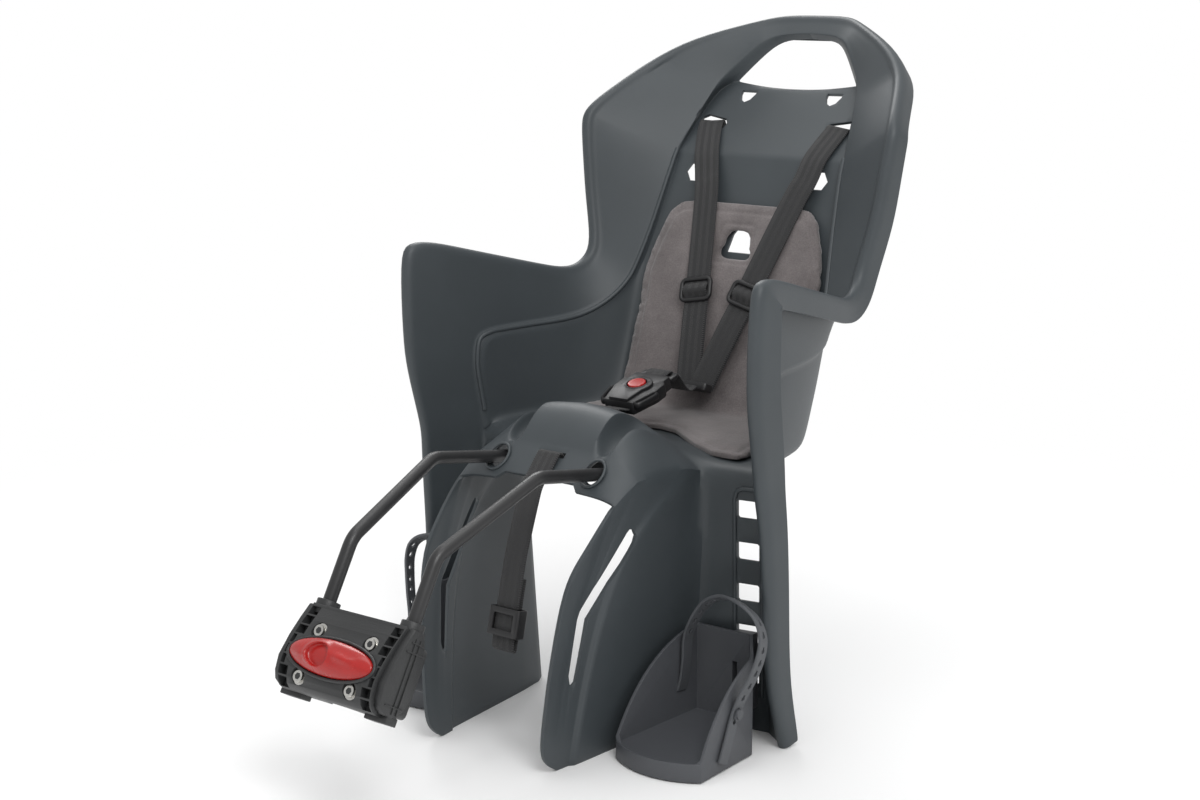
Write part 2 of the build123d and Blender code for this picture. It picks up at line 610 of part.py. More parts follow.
bolt_spots = [(bolt_x, bolt_s), (-bolt_x, bolt_s), (bolt_x, -bolt_s), (-bolt_x, -bolt_s)]
front_back = tube_n + clamp_gap / 2
with BuildPart() as block_front:
    with BuildSketch(Plane(origin=block_at(-block_w / 2, 0, 0), x_dir=block.y_dir, z_dir=(1, 0, 0))):
        with BuildLine():
            edge = block_h / 2
            ThreePointArc((edge, face_n - brow), (0, face_n), (-edge, face_n - brow))
            Polyline((-edge, face_n - brow), (-edge, front_back), (edge, front_back), (edge, face_n - brow))
        make_face()
    extrude(amount=block_w)
    fillet(edges().filter_by(GeomType.CIRCLE), radius=2.5)
    with BuildSketch(Plane(origin=block_at(0, block_h / 2 - 1, 0), x_dir=(1, 0, 0), z_dir=block.y_dir)):
        with Locations((rod_x, -rod_n), (-rod_x, -rod_n)):
            Circle(rod_d / 2 + 4.5)
    extrude(amount=collar + 1)
    with BuildSketch(Plane(origin=block_at(0, -block_h / 2 - tab, 0), x_dir=(1, 0, 0), z_dir=block.y_dir)):
        with Locations((rod_x, -rod_n), (-rod_x, -rod_n)):
            RectangleRounded(24, 15, 2)
    extrude(amount=tab + 1)
    with BuildSketch(Plane(origin=block_at(0, -block_h, 0), x_dir=(1, 0, 0), z_dir=block.y_dir)):
        with Locations((rod_x, -rod_n), (-rod_x, -rod_n)):
            Circle(rod_d / 2 + rod_fit / 2)
        with Locations((0, -tube_n)):
            Circle(tube_r)
    extrude(amount=2 * block_h, mode=Mode.SUBTRACT)
    with BuildSketch(block.offset(-80)):
        with Locations(*bolt_spots):
            Circle(bolt_d / 2 + 0.3)
    extrude(amount=90, mode=Mode.SUBTRACT)
    with BuildSketch(block.offset(bolt_seat)):
        with Locations(*bolt_spots):
            Circle(bolt_d + 1.2)
    extrude(amount=20, mode=Mode.SUBTRACT)
    with BuildSketch(block.offset(face_n - 9)):
        Ellipse(oval_w / 2 + gap, oval_h / 2 + gap)
    extrude(amount=20, mode=Mode.SUBTRACT)
    with BuildSketch(block.offset(face_n - 16)):
        RectangleRounded(oval_w - 10, 12, 3)
    extrude(amount=20, mode=Mode.SUBTRACT)
    with BuildSketch(block.offset(face_n - 28)):
        with Locations((36, 0), (-36, 0)):
            Circle(5.2)
    extrude(amount=20, mode=Mode.SUBTRACT)
    with BuildSketch(block.offset(face_n - 16)):
        with Locations(*[(s * (block_w / 2 - 6.5), 10.2 * (i - 3)) for s in (-1, 1) for i in range(7)]):
            Rectangle(8, 7.6)
    extrude(amount=20, mode=Mode.SUBTRACT)
block_front.part.label = "block_front"
export_step(block_front.part, "parts/block_front.step")

rear_front = tube_n - clamp_gap / 2
with BuildPart() as block_rear:
    with BuildSketch(block.offset(back_n)):
        RectangleRounded(104, 68, 6)
    extrude(amount=rear_front - back_n)
    with BuildSketch(Plane(origin=block_at(0, -block_h, 0), x_dir=(1, 0, 0), z_dir=block.y_dir)):
        with Locations((0, -tube_n)):
            Circle(tube_r)
    extrude(amount=2 * block_h, mode=Mode.SUBTRACT)
    with BuildSketch(block.offset(-80)):
        with Locations(*bolt_spots):
            Circle(bolt_d / 2 + 0.3)
    extrude(amount=90, mode=Mode.SUBTRACT)
    with BuildSketch(block.offset(back_n)):
        with Locations(*bolt_spots):
            RegularPolygon(bolt_d * 0.96 + 0.3, 6)
    extrude(amount=5.4, mode=Mode.SUBTRACT)
block_rear.part.label = "block_rear"
export_step(block_rear.part, "parts/block_rear.step")

washer_t = 1.2
with BuildPart() as clamp_washers:
    with BuildSketch(block.offset(bolt_seat + 0.1)):
        with Locations(*bolt_spots):
            Circle(bolt_d + 0.8)
            Circle(bolt_d / 2 + 0.3, mode=Mode.SUBTRACT)
    extrude(amount=washer_t)
clamp_washers.part.label = "clamp_washers"
export_step(clamp_washers.part, "parts/clamp_washers.step")

with BuildPart() as clamp_bolts:
    with BuildSketch(block.offset(bolt_seat + washer_t + 0.2)):
        with Locations(*bolt_spots):
            Circle(bolt_d * 0.83)
    extrude(amount=bolt_d)
    with BuildSketch(block.offset(bolt_seat + washer_t + 0.2)):
        with Locations(*bolt_spots):
            Circle(bolt_d / 2)
    extrude(amount=-(bolt_seat + washer_t + 0.2 - back_n - 0.4))
    with BuildSketch(block.offset(bolt_seat + washer_t + 0.2 + bolt_d)):
        with Locations(*bolt_spots):
            RegularPolygon(bolt_d * 0.48, 6)
    extrude(amount=-bolt_d / 2, mode=Mode.SUBTRACT)
clamp_bolts.part.label = "clamp_bolts"
export_step(clamp_bolts.part, "parts/clamp_bolts.step")

with BuildPart() as clamp_nuts:
    with BuildSketch(block.offset(back_n + 0.2)):
        with Locations(*bolt_spots):
            RegularPolygon(bolt_d * 0.96, 6)
            Circle(bolt_d / 2 + 0.15, mode=Mode.SUBTRACT)
    extrude(amount=5)
clamp_nuts.part.label = "clamp_nuts"
export_step(clamp_nuts.part, "parts/clamp_nuts.step")

with BuildPart() as release_button:
    with BuildSketch(block.offset(face_n - 3.4)):
        Ellipse(oval_w / 2, oval_h / 2)
    extrude(amount=6.4)
    with BuildSketch(block.offset(face_n + 3)):
        Ellipse(oval_w / 2, oval_h / 2)
    with BuildSketch(block.offset(face_n + 9)):
        Ellipse(oval_w / 2 - 11, oval_h / 2 - 7)
    loft()
    with BuildSketch(block.offset(face_n + 7)):
        Ellipse(15, 7)
    with BuildSketch(block.offset(face_n + 10)):
        Ellipse(22, 9.5)
    loft(mode=Mode.SUBTRACT)
release_button.part.label = "release_button"
export_step(release_button.part, "parts/release_button.step")

with BuildPart() as rod_latch:
    with BuildSketch(block.offset(face_n - 7)):
        RectangleRounded(oval_w - 12, 10, 2.5)
    extrude(amount=3.2)
rod_latch.part.label = "rod_latch"
export_step(rod_latch.part, "parts/rod_latch.step")

with BuildPart() as release_springs:
    for s in (-1, 1):
        with Locations(block.offset(face_n - 28 + 0.3) * Location((36 * s, 0, 0))):
            Cylinder(4.6, 28 - 7 - 0.7, align=(Align.CENTER, Align.CENTER, Align.MIN))
            Cylinder(3.4, 60, mode=Mode.SUBTRACT)
release_springs.part.label = "release_springs"
export_step(release_springs.part, "parts/release_springs.step")

# safety strap: out of the apron slot, down in front of it, round the slide and back up
tail = [(20, 96.5), (23.5, 98), (28, 123), (37.5, 160)]
belt = [(97.5, 257.8), (89, 266.7), (78, 256.3), (62, 241.2), (56, 228), (37, 177), (23, 123), (18.5, 101)]
with BuildPart() as safety_strap:
    with BuildSketch(Plane.YZ):
        with BuildLine():
            Polyline(*[(fy(y), z) for y, z in belt + tail])
        trace(line_width=web_t)
    extrude(amount=belt_w / 2, both=True)
safety_strap.part.label = "safety_strap"
export_step(safety_strap.part, "parts/safety_strap.step")

with BuildPart() as safety_slide:
    slide = Plane(origin=(0, fy(24.8), 121), x_dir=(1, 0, 0), z_dir=(0, 0.25, 0.968))
    with BuildSketch(slide.offset(-13)):
        RectangleRounded(belt_w + 10, 14, 3)
        Rectangle(belt_w + 2, 10, mode=Mode.SUBTRACT)
    extrude(amount=26)
    with BuildSketch(Plane(origin=slide.origin, x_dir=(1, 0, 0), z_dir=slide.y_dir)):
        Rectangle(belt_w - 3, 15)
    extrude(amount=20, both=True, mode=Mode.SUBTRACT)
safety_slide.part.label = "safety_slide"
export_step(safety_slide.part, "parts/safety_slide.step")

# foot rest, right hand of the frame; the other is its mirror
sole_z = 17.0
rest_plan = [(95, 62), (104, 178), (166, 178), (190, 142), (190, 60)]
rest_nose = (142, 45)    # middle of the bowed front


def rest_outline():
    """Foot rest in plan: straight sides and heel, bowed front."""
    sides = [(x, fy(y)) for x, y in rest_plan]
    Polyline(*sides)
    ThreePointArc(sides[-1], (rest_nose[0], fy(rest_nose[1])), sides[0])


with BuildPart() as foot_rest_left:
    with BuildSketch(Plane.XY.offset(1.5)):
        with BuildLine():
            rest_outline()
        make_face()
    extrude(amount=100)
    with BuildSketch(Plane.XY.offset(sole_z)):
        with BuildLine():
            rest_outline()
        make_face()
        offset(amount=-rest_wall, mode=Mode.REPLACE)
    extrude(amount=100, mode=Mode.SUBTRACT)
    with BuildSketch(Plane.XY.offset(-1)):
        with BuildLine():
            rest_outline()
        make_face()
        offset(amount=-rest_wall, mode=Mode.REPLACE)
    extrude(amount=sole_z - rest_wall + 1, mode=Mode.SUBTRACT)
    with BuildSketch(Plane.YZ.offset(60)):
        lip = [(60, sole_z + 1.5), (76, 44), (104, 73), (143, 94), (190, 101)]
        with BuildLine():
            Polyline((fy(60), sole_z + 1.5), (fy(36), sole_z + 1), (fy(36), 0), (fy(190), 0), (fy(190), 101))
            Spline(*[(fy(y), z) for y, z in lip])
        make_face()
    extrude(amount=160, mode=Mode.INTERSECT)
    for z in (24, 98):
        low = ladder_x - hole_w / 2 + 2 * gap
        high = ladder_x + hole_w / 2 - 2 * gap
        with BuildSketch(Plane.XY.offset(z)):
            Polygon((low, fy(176)), (high, fy(176)), (high, fy(track_y(high, z) - gap)),
                    (low, fy(track_y(low, z) - gap)), align=None)
    loft(ruled=True)
    with BuildSketch(Plane.YZ.offset(189)):
        with Locations((fy(108), 50)):
            Circle(2.4)
    extrude(amount=6.5)
    with BuildSketch(Plane.YZ.offset(194.8)):
        with Locations((fy(108), 50)):
            Circle(4.4)
    extrude(amount=1.8)
foot_rest_left.part.label = "foot_rest_left"
export_step(foot_rest_left.part, "parts/foot_rest_left.step")

with BuildPart() as foot_rest_right:
    mirror(foot_rest_left.part, about=Plane.YZ)
foot_rest_right.part.label = "foot_rest_right"
export_step(foot_rest_right.part, "parts/foot_rest_right.step")

# rubber strap: from inside the inner wall, over the foot, down outside onto its peg
arch = Plane(origin=(0, fy(108), 50), x_dir=(1, 0, 0), z_dir=(0, -0.9, 0.436))
rubber_t = 2.6
with BuildPart() as foot_strap_left:
    with BuildSketch(arch):
        with BuildLine():
            Line((192.7, -44), (192.7, 42))
            Spline((192.7, 42), (186, 68), (169, 85), (146, 89), (122, 75), (109, 40), (108.4, 4),
                   tangents=[(0, 1), (0, -1)])
        trace(line_width=rubber_t)
    extrude(amount=6.5, both=True)
    with BuildSketch(Plane.YZ.offset(180)):
        with Locations((fy(108), 50)):
            Circle(2.4 + gap)
    extrude(amount=20, mode=Mode.SUBTRACT)
foot_strap_left.part.label = "foot_strap_left"
export_step(foot_strap_left.part, "parts/foot_strap_left.step")

with BuildPart() as foot_strap_right:
    mirror(foot_strap_left.part, about=Plane.YZ)
foot_strap_right.part.label = "foot_strap_right"
export_step(foot_strap_right.part, "parts/foot_strap_right.step")
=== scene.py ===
"""Looks of a rear child bike seat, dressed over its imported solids."""

import json
import logging
import math
from dataclasses import dataclass, field
from enum import Enum
from typing import Iterable, Sequence

import bmesh
import bpy
from mathutils import Matrix, Vector, noise


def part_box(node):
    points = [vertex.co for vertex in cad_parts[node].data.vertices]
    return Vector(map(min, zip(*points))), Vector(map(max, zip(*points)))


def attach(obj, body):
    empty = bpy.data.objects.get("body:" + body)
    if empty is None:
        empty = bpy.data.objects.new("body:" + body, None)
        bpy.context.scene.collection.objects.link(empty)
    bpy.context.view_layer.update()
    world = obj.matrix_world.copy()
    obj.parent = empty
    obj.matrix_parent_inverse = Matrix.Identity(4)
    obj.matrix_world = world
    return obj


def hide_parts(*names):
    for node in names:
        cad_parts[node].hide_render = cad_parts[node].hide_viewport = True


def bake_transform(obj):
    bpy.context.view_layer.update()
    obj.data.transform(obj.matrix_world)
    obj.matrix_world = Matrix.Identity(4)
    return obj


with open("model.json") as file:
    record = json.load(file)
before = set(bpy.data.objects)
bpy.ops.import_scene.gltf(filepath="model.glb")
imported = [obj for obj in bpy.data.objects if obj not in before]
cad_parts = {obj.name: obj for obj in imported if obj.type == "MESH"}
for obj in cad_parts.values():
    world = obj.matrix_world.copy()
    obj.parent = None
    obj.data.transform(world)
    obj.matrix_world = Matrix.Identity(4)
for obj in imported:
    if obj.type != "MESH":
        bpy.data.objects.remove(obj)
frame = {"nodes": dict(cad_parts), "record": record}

LOG = logging.getLogger("bike_seat")
MM = 0.001
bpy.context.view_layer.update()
# Y of the leg guards' lower tips: their front edges bulge this far ahead of them
LEG_BULGE = 13.0
TIP_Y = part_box("seat_shell")[0].y / MM + LEG_BULGE

Point = tuple[float, float, float]
Flat = tuple[float, float]
# a prism: its plane, its outline there and how far it reaches to each side, millimetres
Prism = tuple[Matrix, Sequence[Flat], float]
SIDES = ((1, "left"), (-1, "right"))


def at(x: float, y: float, z: float) -> Vector:
    """Point in the frame, metres, from millimetres with Y measured back from the leg tips."""
    return Vector((x, y + TIP_Y, z)) * MM


def body_of_node(node: str) -> str:
    """Name of the body that carries a CAD node."""
    bodies = frame["record"]["behaviour"]["bodies"]
    return next(name for name, members in bodies.items() if node in members)


def lerp(a: Vector, b: Vector, t: float) -> Vector:
    """Point a share t of the way from a to b."""
    return a + (b - a) * t


def smoothstep(t: float) -> float:
    """Soft ramp from 0 to 1."""
    t = min(max(t, 0.0), 1.0)
    return t * t * (3 - 2 * t)


def level_at(table: Sequence[Flat], value: float) -> float:
    """Straight interpolation in a table of pairs.

    Args:
        table: pairs in rising order of their first number.
        value: first number to look up.

    Returns:
        The second number there.
    """
    for (a, p), (b, q) in zip(table, table[1:]):
        if value <= b:
            return p + (q - p) * (value - a) / (b - a)
    return table[-1][1]


def curve_through(points: Sequence[Vector], per_span: int, closed: bool = False) -> list[Vector]:
    """Smooth line through points, by cubic spans.

    Args:
        points: the points to pass through, in order.
        per_span: how many steps each span gets.
        closed: whether the last point joins the first.

    Returns:
        Points along the line.
    """
    n = len(points)
    spans = n if closed else n - 1
    line = []
    for i in range(spans):
        def pick(k: int) -> Vector:
            """Neighbour k of this span."""
            return points[(i + k) % n] if closed else points[min(max(i + k, 0), n - 1)]

        p0, p1, p2, p3 = pick(-1), pick(0), pick(1), pick(2)
        for s in range(per_span):
            t = s / per_span
            line.append(0.5 * (2 * p1 + (p2 - p0) * t + (2 * p0 - 5 * p1 + 4 * p2 - p3) * t ** 2
                               + (3 * p1 - p0 - 3 * p2 + p3) * t ** 3))
    if not closed:
        line.append(points[-1].copy())
    return line


def ways_along(points: Sequence[Vector]) -> list[Vector]:
    """Way from the point before to the point after, at each point of a line."""
    last = len(points) - 1
    return [points[min(i + 1, last)] - points[max(i - 1, 0)] for i in range(len(points))]


def circle(radius: float, count: int, across: float = 0.0, up: float = 0.0) -> list[Flat]:
    """Points round a circle.

    Args:
        radius: its radius.
        count: how many points.
        across: first coordinate of its middle.
        up: second coordinate of its middle.

    Returns:
        The points, counter-clockwise.
    """
    turns = (math.tau * i / count for i in range(count))
    return [(across + radius * math.cos(a), up + radius * math.sin(a)) for a in turns]


def rectangle(left: float, right: float, low: float, high: float) -> list[Flat]:
    """Corners of a rectangle, counter-clockwise."""
    return [(left, low), (right, low), (right, high), (left, high)]


def plane_at(spot: Vector, normal: Sequence[float]) -> Matrix:
    """Plane whose Z is a normal in the YZ plane and whose X stays across.

    Args:
        spot: the plane's middle, metres.
        normal: way out of the plane.

    Returns:
        The plane's frame.
    """
    x, z = Vector((1, 0, 0)), Vector(normal).normalized()
    y = z.cross(x).normalized()
    return Matrix.LocRotScale(spot, Matrix((x, y, z)).transposed().to_quaternion(), None)


def moved(plane: Matrix, x: float = 0.0, y: float = 0.0, z: float = 0.0) -> Matrix:
    """Plane moved along its own axes, millimetres."""
    return plane @ Matrix.Translation(Vector((x, y, z)) * MM)


def in_plane(plane: Matrix, x: float, y: float, z: float) -> Vector:
    """Point given by its millimetres along a plane's own axes."""
    return plane @ (Vector((x, y, z)) * MM)


def new_object(name: str, mesh: bpy.types.Mesh) -> bpy.types.Object:
    """Mesh as an object of the scene.

    Args:
        name: its name.
        mesh: its mesh.

    Returns:
        The object.
    """
    obj = bpy.data.objects.new(name, mesh)
    bpy.context.scene.collection.objects.link(obj)
    return obj


def mesh_from(name: str, points: Iterable[Vector], faces: Iterable[Sequence[int]]) -> bpy.types.Mesh:
    """Mesh of the given points and faces.

    Args:
        name: its name.
        points: its points.
        faces: the points of each face.

    Returns:
        The mesh.
    """
    mesh = bpy.data.meshes.new(name)
    mesh.from_pydata([tuple(p) for p in points], [], [tuple(f) for f in faces])
    mesh.update()
    return mesh


def baked(obj: bpy.types.Object) -> bpy.types.Object:
    """Puts the modifiers' result into the object's own mesh and drops the modifiers.

    Args:
        obj: the object.

    Returns:
        The same object.
    """
    graph = bpy.context.evaluated_depsgraph_get()
    mesh = bpy.data.meshes.new_from_object(obj.evaluated_get(graph))
    old = obj.data
    obj.modifiers.clear()
    obj.data = mesh
    bpy.data.meshes.remove(old)
    return obj


def shade_by_angle(mesh: bpy.types.Mesh, degrees: float) -> None:
    """Smooth shading that breaks at edges sharper than an angle.

    Args:
        mesh: the mesh to shade.
        degrees: edges that turn by more stay sharp.
    """
    form = bmesh.new()
    form.from_mesh(mesh)
    limit = math.radians(degrees)
    for face in form.faces:
        face.smooth = True
    for edge in form.edges:
        edge.smooth = len(edge.link_faces) != 2 or edge.calc_face_angle(0.0) < limit
    form.to_mesh(mesh)
    form.free()
    mesh.update()


def place(obj: bpy.types.Object, finish: "Finish", body: str, *stands_for: str) -> bpy.types.Object:
    """Gives a piece its finish and its body.

    Args:
        obj: the piece.
        finish: what it is made of.
        body: the CAD body that carries it.
        stands_for: CAD nodes that it replaces.

    Returns:
        The piece.
    """
    obj.data.materials.clear()
    obj.data.materials.append(finish.material())
    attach(obj, body)
    if stands_for:
        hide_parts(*stands_for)
    LOG.info("%s rides on %s, %d faces", obj.name, body, len(getattr(obj.data, "polygons", [])))
    return obj


class Slot(Enum):
    """Material slots of the record."""

    SHELL = "shell"
    LINER = "liner"
    WEBBING = "webbing"
    TRIM = "trim"
    RED = "red"
    RODS = "rods"
    BLOCK = "block"
    STEEL = "steel"
    REST = "rest"
    RUBBER = "rubber"


class Nodes:
    """Small writer of a node material round one Principled shader."""

    def __init__(self, name: str) -> None:
        """Starts an empty material of that name."""
        self.made = bpy.data.materials.new(name)
        self.made.use_nodes = True
        self.tree = self.made.node_tree
        self.shader = self.tree.nodes["Principled BSDF"]
        self.height: bpy.types.NodeSocket | None = None

    def add(self, kind: str, **settings: object) -> bpy.types.Node:
        """Node of a kind with attributes set, and sockets where the name is one.

        Args:
            kind: the node's type.
            settings: attributes or sockets, by name.

        Returns:
            The node.
        """
        node = self.tree.nodes.new(kind)
        for key, value in settings.items():
            label = key.replace("_", " ").title()
            if label in node.inputs and not hasattr(node, key):
                node.inputs[label].default_value = value
            else:
                setattr(node, key, value)
        return node

    def link(self, out: bpy.types.NodeSocket, into: bpy.types.NodeSocket) -> None:
        """Joins two sockets."""
        self.tree.links.new(out, into)

    def calc(self, operation: str, a: object, b: object = 0.0, c: object = 0.0) -> bpy.types.NodeSocket:
        """Math node's result for sockets or numbers.

        Args:
            operation: what to work out.
            a: first value or socket.
            b: second, where it has one.
            c: third, where it has one.

        Returns:
            The result's socket.
        """
        node = self.add("ShaderNodeMath", operation=operation)
        for socket, value in zip(node.inputs, (a, b, c)):
            if isinstance(value, bpy.types.NodeSocket):
                self.link(value, socket)
            else:
                socket.default_value = value
        return node.outputs[0]

    def place_coordinates(self) -> bpy.types.NodeSocket:
        """Object coordinates, metres."""
        return self.add("ShaderNodeTexCoord").outputs["Object"]

    def noise(self, scale: float, detail: float = 3.0, roughness: float = 0.55) -> bpy.types.NodeSocket:
        """Noise over the object at a scale per metre.

        Args:
            scale: how many waves a metre.
            detail: octaves.
            roughness: weight of the fine ones.

        Returns:
            The value's socket.
        """
        node = self.add("ShaderNodeTexNoise", scale=scale, detail=detail, roughness=roughness)
        self.link(self.place_coordinates(), node.inputs["Vector"])
        return node.outputs["Fac"]

    def ramp(self, fac: bpy.types.NodeSocket,
             stops: Sequence[tuple[float, Sequence[float]]]) -> bpy.types.NodeSocket:
        """Colour ramp over a value.

        Args:
            fac: the value.
            stops: spots and colours.

        Returns:
            The colour's socket.
        """
        node = self.add("ShaderNodeValToRGB")
        while len(node.color_ramp.elements) < len(stops):
            node.color_ramp.elements.new(0.5)
        for element, (spot, color) in zip(node.color_ramp.elements, stops):
            element.position = spot
            element.color = (*color, 1.0)
        self.link(fac, node.inputs["Fac"])
        return node.outputs["Color"]

    def spread(self, fac: bpy.types.NodeSocket, low: float, high: float) -> bpy.types.NodeSocket:
        """Value moved from 0..1 to low..high.

        Args:
            fac: the value.
            low: result at 0.
            high: result at 1.

        Returns:
            The result's socket.
        """
        node = self.add("ShaderNodeMapRange")
        node.inputs["To Min"].default_value = low
        node.inputs["To Max"].default_value = high
        self.link(fac, node.inputs["Value"])
        return node.outputs["Result"]

    def bump(self, height: bpy.types.NodeSocket, depth: float, strength: float = 1.0) -> None:
        """Bump of a depth in metres, laid over any bump before it.

        Args:
            height: what rises.
            depth: how high, metres.
            strength: how much of it shows.
        """
        node = self.add("ShaderNodeBump", strength=strength, distance=depth)
        self.link(height, node.inputs["Height"])
        if self.height is not None:
            self.link(self.height, node.inputs["Normal"])
        self.height = node.outputs["Normal"]
        self.link(self.height, self.shader.inputs["Normal"])

    def set(self, **values: object) -> None:
        """Values on the shader's own sockets, by names such as sheen_weight."""
        for key, value in values.items():
            self.shader.inputs[key.replace("_", " ").title().replace("Ior", "IOR")].default_value = value

    def color(self, out: bpy.types.NodeSocket) -> None:
        """Colour of the surface."""
        self.link(out, self.shader.inputs["Base Color"])

    def rough(self, out: bpy.types.NodeSocket) -> None:
        """Roughness of the surface."""
        self.link(out, self.shader.inputs["Roughness"])


def tint(color: Sequence[float], by: float) -> tuple[float, float, float]:
    """Colour made lighter or darker by a factor."""
    return tuple(min(c * by, 1.0) for c in color)


@dataclass(frozen=True)
class Finish:
    """What a piece is made of."""

    name: str
    slot: Slot
    color: tuple[float, float, float]

    def material(self) -> bpy.types.Material:
        """The node material, made once.

        Returns:
            The material.
        """
        known = bpy.data.materials.get(self.name)
        if known is not None:
            return known
        nodes = Nodes(self.name)
        self.write(nodes)
        nodes.made.diffuse_color = (*self.color, 1.0)
        return nodes.made

    def write(self, nodes: Nodes) -> None:
        """Fills the material in."""
        raise NotImplementedError


@dataclass(frozen=True)
class Moulded(Finish):
    """Moulded plastic with a fine spark-eroded grain."""

    rough: float = 0.5
    grain: float = 900.0
    depth: float = 0.00006
    mottle: float = 0.06

    def write(self, nodes: Nodes) -> None:
        """Cloudy colour, grained roughness and bump.

        Args:
            nodes: the material to fill in.
        """
        cloud = nodes.noise(14.0, 4.0)
        nodes.color(nodes.ramp(cloud, [(0.3, tint(self.color, 1 - self.mottle)),
                                       (0.7, tint(self.color, 1 + self.mottle))]))
        grain = nodes.noise(self.grain, 2.0, 0.6)
        nodes.rough(nodes.spread(grain, self.rough - 0.07, self.rough + 0.07))
        nodes.bump(grain, self.depth)


@dataclass(frozen=True)
class Gloss(Finish):
    """Glossy moulded plastic."""

    rough: float = 0.16

    def write(self, nodes: Nodes) -> None:
        """Even gloss with a faint ripple.

        Args:
            nodes: the material to fill in.
        """
        cloud = nodes.noise(60.0, 2.0)
        nodes.color(nodes.ramp(cloud, [(0.35, tint(self.color, 0.94)), (0.65, tint(self.color, 1.05))]))
        nodes.rough(nodes.spread(cloud, self.rough - 0.03, self.rough + 0.05))
        nodes.bump(cloud, 0.00003)
        nodes.set(coat_weight=0.15, coat_roughness=0.12)


@dataclass(frozen=True)
class PowderCoat(Finish):
    """Satin powder coat with orange peel."""

    rough: float = 0.38

    def write(self, nodes: Nodes) -> None:
        """Dark coat with a fine peel.

        Args:
            nodes: the material to fill in.
        """
        peel = nodes.noise(420.0, 2.0)
        stops = [(0.3, tint(self.color, 0.9)), (0.7, tint(self.color, 1.12))]
        nodes.color(nodes.ramp(nodes.noise(30.0), stops))
        nodes.rough(nodes.spread(peel, self.rough - 0.06, self.rough + 0.08))
        nodes.bump(peel, 0.00006)
        nodes.set(specular_ior_level=0.6)


@dataclass(frozen=True)
class Plated(Finish):
    """Zinc plated steel."""

    rough: float = 0.28

    def write(self, nodes: Nodes) -> None:
        """Metal with fine scratches.

        Args:
            nodes: the material to fill in.
        """
        scratch = nodes.noise(700.0, 4.0)
        stops = [(0.3, tint(self.color, 0.85)), (0.7, tint(self.color, 1.1))]
        nodes.color(nodes.ramp(nodes.noise(120.0), stops))
        nodes.rough(nodes.spread(scratch, self.rough - 0.08, self.rough + 0.12))
        nodes.bump(scratch, 0.00002)
        nodes.set(metallic=1.0)


@dataclass(frozen=True)
class Felt(Finish):
    """Needled felt: short fibres, soft sheen and light specks."""

    def write(self, nodes: Nodes) -> None:
        """Fibre noise in colour and bump.

        Args:
            nodes: the material to fill in.
        """
        fibre = nodes.noise(750.0, 5.0, 0.7)
        cloud = nodes.noise(26.0, 5.0, 0.6)
        both = nodes.calc("MULTIPLY_ADD", fibre, 0.55, nodes.calc("MULTIPLY", cloud, 0.45))
        nodes.color(nodes.ramp(both, [(0.33, tint(self.color, 0.66)), (0.5, self.color),
                                      (0.66, tint(self.color, 1.42))]))
        nodes.bump(nodes.noise(260.0, 4.0, 0.7), 0.0009, 0.6)
        nodes.bump(fibre, 0.0006, 0.7)
        nodes.set(roughness=0.95, sheen_weight=0.35, sheen_roughness=0.5, specular_ior_level=0.2)


@dataclass(frozen=True)
class Webbing(Finish):
    """Woven webbing: a herringbone between two tight selvedges, drawn from millimetre UVs."""

    width: float = 28.0
    rib: float = 1.25
    stripe: float = 4.0
    selvedge: float = 1.5

    def write(self, nodes: Nodes) -> None:
        """Chevron ribs from the UV map, u across and v along in millimetres.

        Args:
            nodes: the material to fill in.
        """
        uv = nodes.add("ShaderNodeUVMap", uv_map="weave").outputs["UV"]
        split = nodes.add("ShaderNodeSeparateXYZ")
        nodes.link(uv, split.inputs[0])
        across, along = split.outputs[0], split.outputs[1]
        zig = nodes.calc("PINGPONG", across, self.stripe)
        turn = 2 * math.pi / self.rib
        phase = nodes.calc("MULTIPLY", nodes.calc("ADD", along, nodes.calc("MULTIPLY", zig, 0.9)), turn)
        ribs = nodes.calc("MULTIPLY_ADD", nodes.calc("SINE", phase), 0.5, 0.5)
        edge = nodes.calc("SUBTRACT", self.width / 2, nodes.calc("ABSOLUTE", across))
        at_edge = nodes.calc("LESS_THAN", edge, self.selvedge)
        wave = nodes.calc("SINE", nodes.calc("MULTIPLY", along, turn * 0.6))
        beads = nodes.calc("MULTIPLY_ADD", wave, 0.5, 0.5)
        mixed = nodes.calc("ADD", nodes.calc("MULTIPLY", ribs, nodes.calc("SUBTRACT", 1.0, at_edge)),
                           nodes.calc("MULTIPLY", beads, at_edge))
        fuzz = nodes.noise(1500.0, 3.0)
        # colour follows the same rib height as the bump: the herringbone is real weave, but its lighter
        # crests and darker grooves are painted highlight and painted shade; the fuzz is random fibre tone
        shade = nodes.calc("MULTIPLY_ADD", fuzz, 0.35, nodes.calc("MULTIPLY", mixed, 0.65))
        nodes.color(nodes.ramp(shade, [(0.1, tint(self.color, 0.45)), (0.55, self.color),
                                       (0.9, tint(self.color, 2.3))]))
        nodes.bump(mixed, 0.0005, 0.8)
        nodes.bump(fuzz, 0.0002, 0.5)
        nodes.set(roughness=0.8, sheen_weight=0.12, specular_ior_level=0.3)


